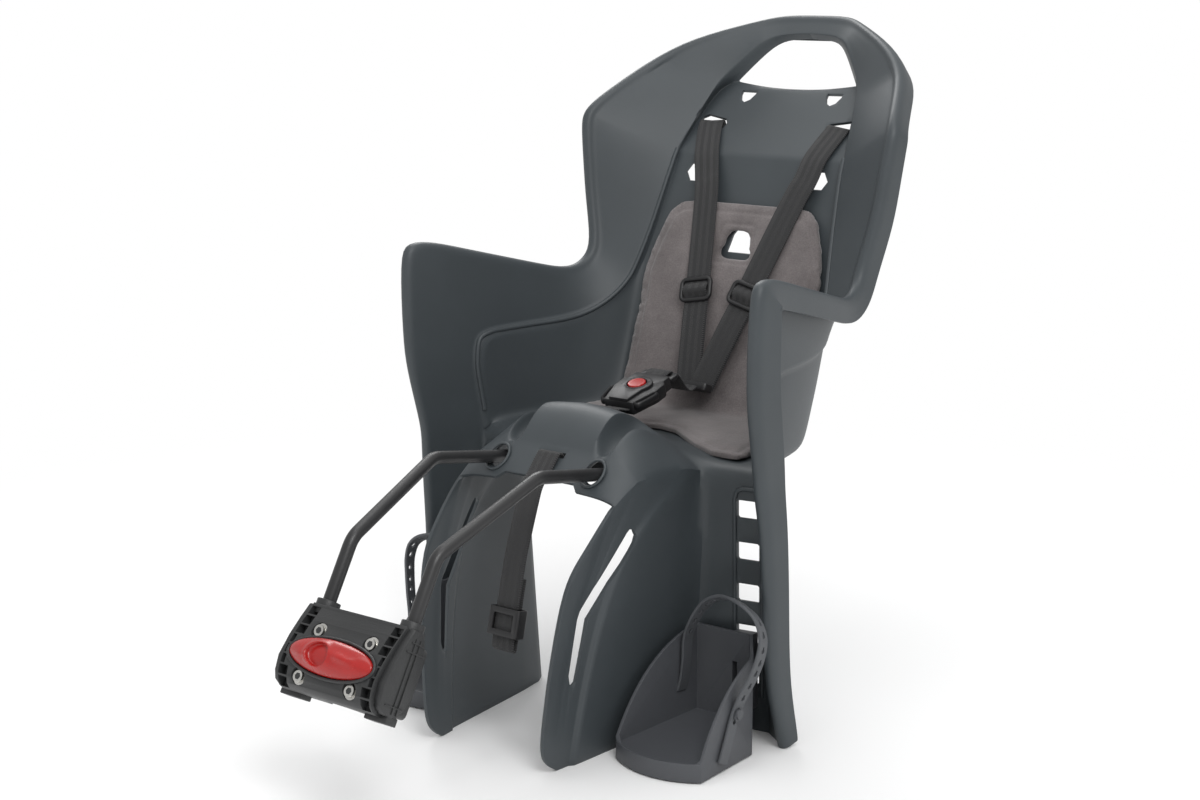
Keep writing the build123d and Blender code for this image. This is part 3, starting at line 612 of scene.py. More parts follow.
SHELL = Moulded("shell_plastic", Slot.SHELL, (0.047, 0.056, 0.062), rough=0.5, grain=1100.0)
BLOCK = Moulded("block_nylon", Slot.BLOCK, (0.027, 0.028, 0.029), rough=0.44, grain=700.0, depth=0.00016,
                mottle=0.12)
TRIM = Moulded("black_acetal", Slot.TRIM, (0.014, 0.014, 0.015), rough=0.42, grain=800.0, depth=0.00008)
REST = Moulded("rest_plastic", Slot.REST, (0.07, 0.074, 0.082), rough=0.52, grain=1000.0)
RUBBER = Moulded("strap_rubber", Slot.RUBBER, (0.085, 0.09, 0.098), rough=0.62, grain=600.0)
RED = Gloss("red_plastic", Slot.RED, (0.4, 0.011, 0.009), rough=0.26)
RODS = PowderCoat("black_powder_coat", Slot.RODS, (0.016, 0.016, 0.017))
STEEL = Plated("zinc_plate", Slot.STEEL, (0.62, 0.61, 0.58))
FELT = Felt("liner_felt", Slot.LINER, (0.16, 0.143, 0.142))
WEB = Webbing("harness_webbing", Slot.WEBBING, (0.03, 0.03, 0.031))
BELT = Webbing("belt_webbing", Slot.WEBBING, (0.03, 0.03, 0.031), width=25.0, stripe=3.6)


@dataclass
class Studio:
    """Floor, world, lamps and the camera at the photograph's place."""

    lens: float = 59.61
    sensor: float = 36.0
    camera_spot: Point = (1101.1, -1296.6, 700.1)
    azimuth: float = 37.0
    elevation: float = 12.26
    paper: float = 0.93
    sky: float = 0.68
    floor_half: float = 14.0
    # radii between which the floor turns to plain white for the camera, metres
    fade: tuple[float, float] = (0.45, 1.25)
    lamps: Sequence[tuple[Point, Point, float, float]] = (
        ((1250.0, -750.0, 1750.0), (0.0, 250.0, 350.0), 0.8, 17.0),
        ((-1150.0, 1300.0, 1750.0), (0.0, 150.0, 300.0), 1.0, 17.0),
        ((0.0, 100.0, 2300.0), (0.0, 150.0, 300.0), 1.2, 9.0),
    )

    def build(self) -> None:
        """Makes the stage and the camera."""
        self.floor()
        self.world()
        for i, (spot, target, size, power) in enumerate(self.lamps):
            self.lamp(f"softbox_{i}", at(*spot), at(*target), size, power)
        lens = bpy.data.cameras.new("camera")
        lens.lens = self.lens
        lens.sensor_width = self.sensor
        camera = bpy.data.objects.new("camera", lens)
        camera.location = at(*self.camera_spot)
        camera.rotation_euler = (math.radians(90 - self.elevation), 0.0, math.radians(self.azimuth))
        bpy.context.scene.collection.objects.link(camera)
        bpy.context.scene.camera = camera
        bpy.context.scene.view_settings.view_transform = "Standard"

    def lamp(self, name: str, spot: Vector, target: Vector, size: float, power: float) -> None:
        """Softbox at a spot, facing a target.

        Args:
            name: the lamp's name.
            spot: where it stands.
            target: what it faces.
            size: its side, metres.
            power: watts.
        """
        light = bpy.data.lights.new(name, "AREA")
        light.shape = "SQUARE"
        light.size = size
        light.energy = power
        obj = bpy.data.objects.new(name, light)
        obj.location = spot
        obj.rotation_euler = (target - spot).to_track_quat("-Z", "Y").to_euler()
        bpy.context.scene.collection.objects.link(obj)

    def floor(self) -> None:
        """Large pale floor that takes the seat's shadow and turns white to the camera further out."""
        corners = [Vector((x, y, 0.0)) * self.floor_half for x, y in rectangle(-1, 1, -1, 1)]
        floor = new_object("floor", mesh_from("floor", corners, [(0, 1, 2, 3)]))
        nodes = Nodes("pale_floor")
        nodes.set(roughness=0.9, specular_ior_level=0.1, base_color=(self.paper,) * 3 + (1.0,))
        reach = nodes.add("ShaderNodeVectorMath", operation="LENGTH")
        nodes.link(nodes.place_coordinates(), reach.inputs[0])
        ring = nodes.add("ShaderNodeMapRange", interpolation_type="SMOOTHSTEP")
        ring.inputs["From Min"].default_value, ring.inputs["From Max"].default_value = self.fade
        nodes.link(reach.outputs["Value"], ring.inputs["Value"])
        path = nodes.add("ShaderNodeLightPath")
        seen = nodes.calc("MAXIMUM", path.outputs["Is Camera Ray"], path.outputs["Is Glossy Ray"])
        seen = nodes.calc("MAXIMUM", seen, path.outputs["Is Transmission Ray"])
        white = nodes.add("ShaderNodeEmission")
        mixed = nodes.add("ShaderNodeMixShader")
        nodes.link(nodes.calc("MULTIPLY", seen, ring.outputs["Result"]), mixed.inputs[0])
        nodes.link(nodes.shader.outputs[0], mixed.inputs[1])
        nodes.link(white.outputs[0], mixed.inputs[2])
        nodes.link(mixed.outputs[0], nodes.tree.nodes["Material Output"].inputs["Surface"])
        floor.data.materials.append(nodes.made)

    def world(self) -> None:
        """White for the camera and mirrors, soft grey light for the rest."""
        world = bpy.data.worlds.new("studio")
        world.use_nodes = True
        tree = world.node_tree
        ground = tree.nodes["Background"]
        ground.inputs["Color"].default_value = (1.0, 1.0, 1.0, 1.0)
        path = tree.nodes.new("ShaderNodeLightPath")
        seen = tree.nodes.new("ShaderNodeMath")
        seen.operation = "MAXIMUM"
        tree.links.new(path.outputs["Is Camera Ray"], seen.inputs[0])
        tree.links.new(path.outputs["Is Transmission Ray"], seen.inputs[1])
        level = tree.nodes.new("ShaderNodeMapRange")
        level.inputs["To Min"].default_value = self.sky
        level.inputs["To Max"].default_value = 1.0
        tree.links.new(seen.outputs[0], level.inputs["Value"])
        tree.links.new(level.outputs["Result"], ground.inputs["Strength"])
        bpy.context.scene.world = world


class Patchwork:
    """Quads welded by position, each with its mirror image in X."""

    def __init__(self) -> None:
        """Starts empty."""
        self.points: list[Vector] = []
        self.faces: list[list[int]] = []
        self.known: dict[tuple[int, ...], int] = {}
        self.creases: list[tuple[int, int, float]] = []

    def sharpen(self, line: Sequence[Vector], amount: float) -> None:
        """Keeps the edges along a line, and along its mirror image, sharp.

        Args:
            line: the line's points.
            amount: how sharp, up to 1.
        """
        for side in (1, -1):
            ends = [self.point(Vector((side * p.x, p.y, p.z))) for p in line]
            self.creases += [(a, b, amount) for a, b in zip(ends, ends[1:])]

    def point(self, p: Vector) -> int:
        """Finds or adds a point.

        Args:
            p: where it is.

        Returns:
            Its index.
        """
        key = tuple(round(c * 2e4) for c in p)
        if key not in self.known:
            self.known[key] = len(self.points)
            self.points.append(p.copy())
        return self.known[key]

    def grid(self, rows: Sequence[Sequence[Vector]]) -> None:
        """Quads between neighbouring rows, and their mirror images.

        Args:
            rows: rows of as many points each.
        """
        for low, high in zip(rows, rows[1:]):
            for corners in zip(low, low[1:], high[1:], high):
                self.face(corners)
                self.face([Vector((-p.x, p.y, p.z)) for p in reversed(corners)])

    def face(self, corners: Sequence[Vector]) -> None:
        """One face, unless its corners run together.

        Args:
            corners: its corners in order.
        """
        found = list(dict.fromkeys(self.point(p) for p in corners))
        if len(found) > 2:
            self.faces.append(found)

    def mesh(self, name: str) -> bpy.types.Mesh:
        """The quads as a mesh with its creases, all faces turned one way.

        Args:
            name: its name.

        Returns:
            The mesh.
        """
        form = bmesh.new()
        form.from_mesh(mesh_from(name, self.points, self.faces))
        bmesh.ops.recalc_face_normals(form, faces=form.faces)
        layer = form.edges.layers.float.new("crease_edge")
        form.verts.ensure_lookup_table()
        for a, b, amount in self.creases:
            edge = form.edges.get((form.verts[a], form.verts[b]))
            if edge is not None:
                edge[layer] = amount
        mesh = bpy.data.meshes.new(name)
        form.to_mesh(mesh)
        form.free()
        return mesh


def filled(bottom: Sequence[Vector], top: Sequence[Vector], left: Sequence[Vector],
           right: Sequence[Vector]) -> list[list[Vector]]:
    """Grid that fills four edges, by transfinite interpolation.

    Args:
        bottom: first row, left to right.
        top: last row, left to right.
        left: first column, bottom to top.
        right: last column, bottom to top.

    Returns:
        Rows of points from bottom to top.
    """
    n, m = len(bottom) - 1, len(left) - 1
    rows = []
    for j in range(m + 1):
        v = j / m
        row = []
        for i in range(n + 1):
            u = i / n
            edges = lerp(bottom[i], top[i], v) + lerp(left[j], right[j], u)
            corners = lerp(lerp(bottom[0], bottom[-1], u), lerp(top[0], top[-1], u), v)
            row.append(edges - corners)
        rows.append(row)
    return rows


@dataclass
class SeatShell:
    """One-piece moulded shell: back, wings, arm rests, pan, hump and leg guards with a rolled rim."""

    wall: float = 3.4
    nose: float = 7.0
    flare: float = 2.5
    finish: Finish = SHELL
    # the rim from the floor to the top bar: X, Y, Z and the depth of its outer skirt
    leg_rim: Sequence[tuple[float, ...]] = (
        (200.0, 172, 0, 16), (199.9, 166, 15, 18), (198.0, 151, 57, 22), (198.0, 143, 107, 25),
        (197.0, 142, 148, 26), (196.0, 137, 211, 28))
    rim: Sequence[tuple[float, ...]] = (
        (191.6, 133, 245, 32), (192.1, 130, 263, 34), (194.3, 116, 316, 36), (194.0, 112, 347, 36),
        (195.6, 112, 426, 34), (194.9, 122, 442, 38), (191.2, 155, 438, 27), (186.6, 190, 429, 25),
        (178.6, 245, 415, 24.5), (169.9, 300, 401, 24), (165.8, 322, 396, 24), (163.3, 341, 396, 24),
        (160.6, 356, 404, 24), (158.9, 364, 418, 25), (170.1, 370, 461, 25), (175.2, 373, 500, 23),
        (179.8, 376, 538, 22), (180.3, 380, 552, 21), (176.6, 391, 564, 20), (164.0, 421, 584, 20),
        (150.0, 452, 604, 20), (117.7, 479, 628, 20), (62.2, 521, 646, 20))
    # where the skirt ends round the arm rest's front corner
    corner_aim: Sequence[tuple[int, Flat]] = ((4, (144, 421)), (5, (147, 414)), (6, (154, 410)))
    # how far the rolled edge has turned from sideways to backwards, towards the top bar
    turn: Sequence[float] = (0.0,) * 18 + (0.05, 0.12, 0.25, 0.45, 0.75)
    bar: Sequence[tuple[float, ...]] = ((40.0, 539.5, 645.0, 27.0), (0.0, 539.5, 645.0, 27.0))
    # step between the outer wings and the inner tub: its outer and its inner line
    step_out: Sequence[Point] = (
        (168, 192, 245), (170, 190, 262), (173, 184, 298), (174, 183, 318), (174, 186, 336),
        (173.5, 194, 344), (173, 210, 347), (171, 232, 347), (165, 268, 347), (154, 308, 348),
        (144, 334, 353), (131, 354, 365), (122, 372, 382), (117, 384, 405), (111, 400, 440),
        (107, 414, 475), (104, 425, 500), (101.5, 433, 513), (97, 446, 529), (92.5, 462, 551),
        (87, 479, 573), (81, 493, 590), (52, 516, 624), (36, 530, 632), (0, 531, 633))
    step_in: Sequence[Point] = (
        (163, 199, 251), (164, 198, 262), (166, 194, 297), (167, 194, 315), (167, 197, 328),
        (166.5, 203, 335), (166, 214, 338), (164, 235, 338), (158, 270, 338), (147, 310, 339),
        (137, 338, 345), (124, 362, 360), (116, 382, 381), (111.5, 394, 405), (106, 408, 441),
        (102, 422, 476), (100, 432, 500), (100.5, 437, 511), (99.5, 451, 525), (97, 471, 546),
        (91, 501, 577), (72, 506, 582), (46, 527, 616), (31, 537, 626), (0, 538, 627))
    wing_folds: Sequence[int] = (17, 20, 22)
    # holes: the outline of each in its own plane, and where its middle is
    panel_spot: Point = (0, 466, 541)
    panel_way: Point = (0, -0.717, 0.697)
    strap_slot: Sequence[Flat] = ((-17, -3.6), (17, -3.6), (17, 3.5), (12, 8.5), (-12, 8.5), (-17, 3.5))
    strap_slot_x: float = 77.0
    strap_slot_turn: float = 12.4
    shield: Sequence[Flat] = ((-9.5, 7), (9.5, 7), (9, 2), (5.5, -6), (0, -9.5), (-5.5, -6), (-9, 2))
    shield_spot: Flat = (52.0, 39.0)
    hexagon: Sequence[Flat] = ((-12, 0), (-6.5, -8.5), (6.5, -8.5), (12, 0), (6.5, 8.5), (-6.5, 8.5))
    hexagon_spot: Flat = (74.0, 491.0)
    back_hole: Sequence[Flat] = ((-16, -11), (16, -11), (12.4, 6), (9, 11), (-9, 11), (-12.4, 6))
    back_hole_z: float = 426.0
    belt_spot: Point = (0, 91, 264.5)
    belt_way: Point = (0, -0.684, 0.729)
    belt_slot: Flat = (15.5, 3.0)
    apron_notch: Sequence[Flat] = (
        (-46, -60), (46, -60), (46, -33.5), (39.5, -26.5), (-39.5, -26.5), (-46, -33.5))
    crotch_spot: Point = (0, 175, 292)
    crotch_way: Point = (0, 0.4, 0.9)
    crotch_slot: Flat = (15.0, 3.0)
    leg_slot: Sequence[Flat] = (
        (18.5, 80), (22, 77), (26, 80), (36, 137), (90, 197), (93.5, 203), (92, 208), (86, 210), (82, 207),
        (26, 147), (23, 140), (16.5, 88))
    leg_slot_x: float = 80.0
    rod_hole: float = 9.8
    rod_spot: Point = (55.5, 88, 256)
    # lip round a rod's hole: its middle, the way it looks and its half axes
    lip_spot: Point = (55.5, 80.8, 256.7)
    lip_way: Point = (0, -0.69, 0.72)
    lip_size: Flat = (11.0, 14.4)
    bead_run: tuple[int, int] = (1, 18)
    bead_r: float = 2.4
    bead_rise: float = 0.2
    panel_fold: int = 10
    tub_front: int = 5
    tub_rear: int = 12
    handle_low: int = 21
    pan_side: Sequence[Point] = (
        (160, 213, 253.2), (156, 235, 253.5), (151, 258, 253.5), (145, 281, 253.5), (136, 300, 253.5),
        (125, 320, 253.5), (112, 337, 253.5))
    ladder_hole: tuple[float, float, float] = (11.0, 8.5, 1.5)
    ladder_top: Point = (151, 194, 214.5)
    ladder_pitch: float = 40.0
    ladder_count: int = 5
    tub_corner: Sequence[Point] = (
        (112, 337, 253.5), (113, 345, 264), (114.5, 355, 290), (115.5, 365, 318), (116, 374, 350))
    back_line: Sequence[Flat] = (
        (245, 335), (254, 338), (264, 345.5), (340, 374), (400, 396), (445, 412), (511, 436.2), (556, 481),
        (584, 508))
    back_shares: Sequence[float] = (
        0.0, 0.179, 0.313, 0.366, 0.384, 0.42, 0.455, 0.491, 0.527, 0.545, 0.696, 0.875, 0.917, 0.958, 1.0)
    back_edge: int = 11
    # hump over the bike's wheel: Y, then its top line from the middle out
    hump: Sequence[tuple[float, Sequence[Flat]]] = (
        (66, ((0, 242.5), (45, 241.6), (76, 240.2), (91, 235.5))),
        (78, ((0, 254), (45, 253), (76, 250.5), (92.4, 243))),
        (97, ((0, 271), (45, 270), (76, 266), (94, 252))),
        (103, ((0, 280), (43, 278.5), (73, 271), (94.7, 252.4))),
        (112, ((0, 291), (42, 289), (72, 277), (95.6, 252.4))),
        (130, ((0, 305), (40, 302), (70, 285), (97.3, 252.4))),
        (147, ((0, 304), (39, 300), (69, 283), (99, 252.4))),
        (165, ((0, 297), (38, 293), (67, 277), (101, 252.4))),
        (173, ((0, 292.5), (37, 288.5), (66, 274), (102.5, 250))),
        (181, ((0, 288), (36, 284), (65, 271), (104, 247))),
        (189, ((0, 284), (34, 280), (61, 267), (104, 253.3))),
        (205, ((0, 276), (30, 272), (52, 262.5), (104, 253.5))),
        (228, ((0, 265), (24, 262), (46, 256.5), (103, 253.5))),
        (250, ((0, 256), (22, 255), (48, 254), (102, 253.5))),
        (272, ((0, 254), (25, 253.7), (50, 253.5), (101, 253.5))),
        (294, ((0, 253.6), (38, 253.5), (66, 253.5), (100, 253.5))),
        (315, ((0, 253.5), (44, 253.5), (70, 253.5), (99, 253.5))),
        (337, ((0, 253.5), (50, 253.5), (75, 253.5), (98, 253.5))))
    hump_columns: Sequence[float] = (0, 20, 35, 41, 43, 47, 51, 55, 59, 61, 78)
    # scoops in the hump's shoulders: X of the middle, half width, depth, and where in Y each starts,
    # is deep, rises and ends
    scoop: tuple[float, float, float] = (51.0, 10.0, 18.0)
    scoop_run: tuple[float, float, float, float] = (101.0, 112.0, 140.0, 176.0)
    hump_on_leg: int = 9
    leg_foot: Sequence[Flat] = ((88, 187), (172, 199))
    leg_head: Sequence[Flat] = ((104, 181), (168, 192))
    leg_top: float = 245.0
    leg_front_x: Sequence[Flat] = ((0, 66), (57, 71), (107, 76), (148, 80), (211, 84), (260, 84))
    leg_front: Sequence[Flat] = (
        (8, 0), (-8, 11), (-13, 27), (-11, 60), (-9, 91), (-4, 135), (6, 179))
    leg_slope: Sequence[Flat] = ((46, 219), (26, 199))
    # step in a leg guard's inner wall, from the floor up, and the hump rows between which it ends
    leg_step: Sequence[Flat] = ((22.8, 0), (26, 30), (33, 74), (42, 120), (60, 172), (98, 214))
    leg_step_top: tuple[int, int] = (6, 8)
    step_back: float = 5.0
    step_height: float = 3.5

    def back_corner(self, z: float) -> list[Vector]:
        """Back corners of a leg guard at a height.

        Args:
            z: the height, millimetres.

        Returns:
            The inner and the outer corner.
        """
        k = z / self.leg_top
        return [at(a[0] + k * (b[0] - a[0]), a[1] + k * (b[1] - a[1]), z)
                for a, b in zip(self.leg_foot, self.leg_head)]

    def inner_wall(self, y: float, z: float) -> Vector:
        """Point of a leg guard's inner wall.

        Args:
            y: how far back.
            z: how high.

        Returns:
            The point.
        """
        inner = self.back_corner(min(z, self.leg_top))[0] / MM
        x0 = level_at(self.leg_front_x, z)
        back = inner.y - TIP_Y
        return at(x0 + (inner.x - x0) * (y + 25) / (back + 25), y, z)

    def into_wall(self, i: int) -> Vector:
        """Side-view direction from a rim station into the wall.

        Args:
            i: the station, below 0 on a leg guard.

        Returns:
            The direction.
        """
        stations = [*self.leg_rim, *self.rim]
        k = i + len(self.leg_rim)
        aims = dict(self.corner_aim)
        if i in aims:
            y, z = aims[i]
            return Vector((0, y - self.rim[i][1], z - self.rim[i][2])).normalized()
        low, high = stations[max(k - 1, 0)], stations[min(k + 1, len(stations) - 1)]
        return Vector((0, high[2] - low[2], low[1] - high[1])).normalized()

    def roll(self, start: Vector, edge: Vector, out: Vector, depth: float) -> list[Vector]:
        """Section of the rolled rim, from its outer skirt's end back to the wall.

        Args:
            start: where the flat wall ends.
            edge: direction from the wall to the edge.
            out: direction from the wall to its outside.
            depth: skirt depth below the nose.

        Returns:
            Points from the skirt's end to the wall.
        """
        r, c = self.nose * MM, math.sqrt(0.5)
        drop = depth * MM - r
        line = [start, start + out * r * (1 - c) + edge * r * c, start + (out + edge) * r,
                start + out * r * (1 + c) + edge * r * c, start + out * 2 * r]
        for share in (0.3, 0.9, 1.0):
            line.append(start + out * (2 * r + self.flare * MM * share) - edge * drop * share)
        return line[::-1]

    def wall_end(self, station: Sequence[float], into: Vector, toward: Vector) -> Vector:
        """Where the wall meets the rim's roll, a nose radius inside the edge.

        Args:
            station: the rim's station.
            into: side-view direction into the wall.
            toward: where the wall leads.

        Returns:
            The point.
        """
        spot = at(*station[:3])
        span = toward - spot
        end = spot + into * self.nose * MM
        end.x += span.x * self.nose * MM / span.length
        return end

    def strips(self, work: Patchwork) -> None:
        """Wings, arm rests and top bar: from the rim's skirt to the tub.

        Args:
            work: the patchwork to add to.
        """
        rows = []
        for i, (out, inside) in enumerate(zip(self.step_out, self.step_in)):
            far, near = at(*out), at(*inside)
            if i < len(self.rim):
                into = self.into_wall(i)
                turn = self.turn[i] if i < len(self.turn) else 0.0
                outward = Vector((1 - turn, turn, 0)).normalized()
                start = self.wall_end(self.rim[i], into, far)
                section = self.roll(start, -into, outward, self.rim[i][3])
            else:
                x, y, z, depth = self.bar[i - len(self.rim)]
                start = at(x, y, z)
                section = self.roll(start, Vector((0, 0.05, 1)).normalized(), Vector((0, 1, 0)), depth)
            span = [lerp(start, far, t) for t in self.across(start, far)]
            bead = lerp(far, near, 0.5) + self.toward_child(i) * 1.6 * MM
            rows.append([*section, *span, far, bead, near])
        work.grid(rows)
        work.sharpen([row[-3] for row in rows], 0.5)
        work.sharpen([row[-1] for row in rows], 0.5)
        for fold in self.wing_folds:
            work.sharpen(rows[fold][len(section) - 1:-2], 0.85)

    def across(self, start: Vector, far: Vector) -> list[float]:
        """Shares of the columns between the rim and the step, close to both ends."""
        edge = min(6 * MM / max((far - start).length, 1e-6), 0.3)
        return [edge, 0.36, 0.68, 1 - edge]

    def toward_child(self, i: int) -> Vector:
        """Direction from the step's station i into the seat."""
        side = -1.0 if i < self.tub_rear else -0.5
        return Vector((side, -0.6, 0.5)).normalized()

    def tub(self, work: Patchwork) -> None:
        """Lower side walls and the back panel.

        Args:
            work: the patchwork to add to.
        """
        inside = [at(*p) for p in self.step_in]
        corner = [at(*p) for p in self.tub_corner] + [inside[self.tub_rear]]
        bottom = [inside[0]] + [at(*p) for p in self.pan_side]
        work.grid(filled(bottom, inside[self.tub_front:self.tub_rear + 1],
                         inside[:self.tub_front + 1], corner))
        edge = corner + inside[self.tub_rear + 1:self.handle_low + 1]
        rows = []
        for k, p in enumerate(edge):
            z = p.z / MM
            flat = at(0, level_at(self.back_line, z), z).y
            sag = 6 * MM if k == len(edge) - 1 else 0.0
            row = []
            for share in self.back_shares:
                wide = self.back_shares[self.back_edge]
                near = max(share - wide, 0) / (1 - wide)
                row.append(Vector((p.x * share, flat + (p.y - flat) * near, p.z - sag * (1 - share ** 2))))
            rows.append(row)
        rows[0] = self.pan_rows()[-1]
        work.grid(rows)
        work.sharpen(rows[self.panel_fold], 0.8)

    def hump_row(self, k: int) -> list[Vector]:
        """One row of the hump from the middle out.

        Args:
            k: the row.

        Returns:
            Its points.
        """
        y, line = self.hump[k]
        row = [at(x, y, level_at(line, x) - self.scooped(x, y)) for x in self.hump_columns]
        return row + [at(line[-1][0], y, line[-1][1])]

    def scooped(self, x: float, y: float) -> float:
        """Depth of the hump's scoops.

        Args:
            x: how far out.
            y: how far back.

        Returns:
            The depth, millimetres.
        """
        middle, half, depth = self.scoop
        start, deep, rise, end = self.scoop_run
        ahead = max(deep - y, 0.0) / (deep - start)
        inside = 1 - ((x - middle) / half) ** 2 - ahead ** 2
        return depth * math.sqrt(max(inside, 0.0)) * smoothstep((end - y) / (end - rise))

    def pan_rows(self) -> list[list[Vector]]:
        """Rows of hump and pan behind the leg guards, from the middle out to the side wall.

        Returns:
            The rows.
        """
        side = [at(*self.step_in[0])] + [at(*p) for p in self.pan_side]
        rows = []
        for k, edge in enumerate(side):
            row = self.hump_row(self.hump_on_leg + 1 + k)
            rows.append(row + [lerp(row[-1], edge, t) for t in (1 / 3, 2 / 3, 1.0)])
        return rows

    def middle(self, work: Patchwork) -> None:
        """Hump over the wheel and the pan.

        Args:
            work: the patchwork to add to.
        """
        front = [self.hump_row(k) for k in range(self.hump_on_leg + 2)]
        work.grid(front)
        work.grid(self.pan_rows())
        columns = len(self.hump_columns)
        work.sharpen([row[columns] for row in front], 0.75)
        work.sharpen(front[2], 0.85)
        for column, amount in ((3, 1.0), (9, 0.7), (10, 0.15)):
            work.sharpen([row[column] for row in front[2:]], amount)

    def legs(self, work: Patchwork) -> None:
        """Leg guards: outer wall with the rim, back wall and inner wall.

        Args:
            work: the patchwork to add to.
        """
        stations = [*self.leg_rim, self.rim[0]]
        outer, back, corner = [], [], []
        for i, station in enumerate(stations):
            inner_c, outer_c = self.back_corner(station[2])
            if station[2] == self.leg_top:
                inner_c, outer_c = at(*self.inner_top()), at(*self.step_out[0])
            into = self.into_wall(i - len(self.leg_rim))
            start = self.wall_end(station, into, outer_c)
            section = self.roll(start, -into, Vector((1, 0, 0)), station[3])
            between = [lerp(start, outer_c, t) for t in self.across(start, outer_c)]
            outer.append(section + between + [outer_c])
            back.append([lerp(outer_c, inner_c, t) for t in (0.0, 1 / 3, 2 / 3, 1.0)])
            corner.append(inner_c)
        work.grid(outer)
        shelf = self.pan_rows()[0][len(self.hump_columns):][::-1]
        work.grid([*back, shelf])
        work.sharpen([row[0] for row in back], 0.35)
        work.sharpen([row[-1] for row in back], 0.35)
        self.leg_inside(work, corner)

    def leg_inside(self, work: Patchwork, corner: Sequence[Vector]) -> None:
        """Inner wall of a leg guard: a front plate, a raised step and the plate behind it.

        Args:
            work: the patchwork to add to.
            corner: the wall's back corner from the floor up.
        """
        hump_edge = [self.hump_row(k)[-1] for k in range(self.hump_on_leg + 1)]
        fold, rear_fold = self.leg_step_top
        front = [self.inner_wall(y, z) for y, z in self.leg_front]
        low = [self.inner_wall(y, z) for y, z in self.leg_step] + [hump_edge[fold]]
        high = [self.inner_wall(y + self.step_back, z - 1.5 * (z > 0)) for y, z in self.leg_step]
        high = [p + Vector((self.step_height * MM, 0, 0)) for p in high] + [hump_edge[rear_fold]]
        middle = [lerp(a, b, 0.5) for a, b in zip(low, high)]
        middle[-1] = hump_edge[fold + 1]
        top = hump_edge[fold::-1] + [self.inner_wall(y, z) for y, z in self.leg_slope] + [front[-1]]
        bottom = [lerp(low[0], front[0], i / (len(top) - 1)) for i in range(len(top))]
        work.grid(filled(bottom, top, low, front))
        work.grid([list(row) for row in zip(high, middle, low)])
        top = hump_edge[:rear_fold - 1:-1]
        bottom = [lerp(corner[0], high[0], i / (len(top) - 1)) for i in range(len(top))]
        work.grid(filled(bottom, top, corner, high))
        work.sharpen(low[:-1], 0.7)
        work.sharpen(high[:-1], 0.7)

    def inner_top(self) -> Point:
        """Top of a leg guard's inner back corner, which is also the hump's edge."""
        y, line = self.hump[self.hump_on_leg]
        return (line[-1][0], y, line[-1][1])

    def build(self) -> bpy.types.Object:
        """Makes the shell and cuts its holes.

        Returns:
            The finished piece.
        """
        work = Patchwork()
        self.strips(work)
        self.tub(work)
        self.middle(work)
        self.legs(work)
        shell = new_object("shell", work.mesh("shell"))
        pan = min(shell.data.polygons, key=lambda f: (f.center - at(120, 270, 253.5)).length)
        if pan.normal.z < 0:
            shell.data.flip_normals()
        smooth = shell.modifiers.new("smooth", "SUBSURF")
        smooth.levels = smooth.render_levels = 2
        baked(shell)
        solid = shell.modifiers.new("wall", "SOLIDIFY")
        solid.thickness = self.wall * MM
        solid.offset = -1.0
        solid.use_even_offset = True
        baked(shell)
        cut(shell, solid_of("holes", self.holes()))
        soften(shell, 0.7)
        shade_by_angle(shell.data, 38.0)
        self.beads(shell)
        return place(shell, self.finish, "seat", "seat_shell")

    def beads(self, shell: bpy.types.Object) -> None:
        """Raised bead up each side where the wing meets the tub, and the lips of the rods' holes.

        Args:
            shell: the shell that they lie on.
        """
        first, last = self.bead_run
        pairs = zip(self.step_out[first:last], self.step_in[first:last])
        middle = [lerp(at(*a), at(*b), 0.45) for a, b in pairs]
        for side, name in SIDES:
            line, ups = [], []
            for spot in curve_through([Vector((side * p.x, p.y, p.z)) for p in middle], 6):
                found, near, normal, _ = shell.closest_point_on_mesh(spot + Vector((-side * 5, -4, 4)) * MM)
                line.append(near + normal * self.bead_rise * MM if found else spot)
                ups.append(normal)
            place(tube(f"wall_bead_{name}", line, ups, self.bead_r, self.bead_r), self.finish, "seat")
            self.rod_lip(side, name)

    def rod_lip(self, side: int, name: str) -> None:
        """Lip round one rod's hole in the apron.

        Args:
            side: 1 for the child's left, -1 for the right.
            name: left or right.
        """
        x, y, z = self.lip_spot
        apron = plane_at(at(x * side, y, z), self.lip_way)
        wide, tall = self.lip_size
        ring = [in_plane(apron, wide * u, tall * v, 0) for u, v in circle(1, 40)]
        out = apron.to_3x3() @ Vector((0, 0, 1))
        place(tube(f"rod_boss_{name}", ring, out, 1.4, 1.5, closed=True), self.finish, "seat")

    def holes(self) -> list[Prism]:
        """All the shell's holes.

        Returns:
            Their prisms.
        """
        panel = plane_at(at(*self.panel_spot), self.panel_way)
        upright = plane_at(at(0, 436, 0), (0, -1, 0))
        found: list[Prism] = []
        for side, _ in SIDES:
            turn = Matrix.Rotation(math.radians(self.strap_slot_turn * side), 4, "Z")
            found.append((moved(panel, self.strap_slot_x * side) @ turn, self.strap_slot, 16))
            x, y = self.shield_spot
            found.append((moved(panel, x * side, y), self.shield, 16))
            x, z = self.hexagon_spot
            found.append((moved(upright, x * side, z), self.hexagon, 60))
            x, y, z = self.rod_spot
            found.append((plane_at(at(x * side, y, z), (0, -1, 0.1)), circle(self.rod_hole, 32), 30))
            found += self.leg_holes(side)
        found.append((moved(upright, 0, self.back_hole_z), self.back_hole, 60))
        belt = plane_at(at(*self.belt_spot), self.belt_way)
        wide, tall = self.belt_slot
        found.append((belt, rectangle(-wide, wide, -tall, tall), 12))
        found.append((belt, self.apron_notch, 14))
        wide, tall = self.crotch_slot
        crotch = plane_at(at(*self.crotch_spot), self.crotch_way)
        found.append((crotch, rectangle(-wide, wide, -tall, tall), 12))
        return found

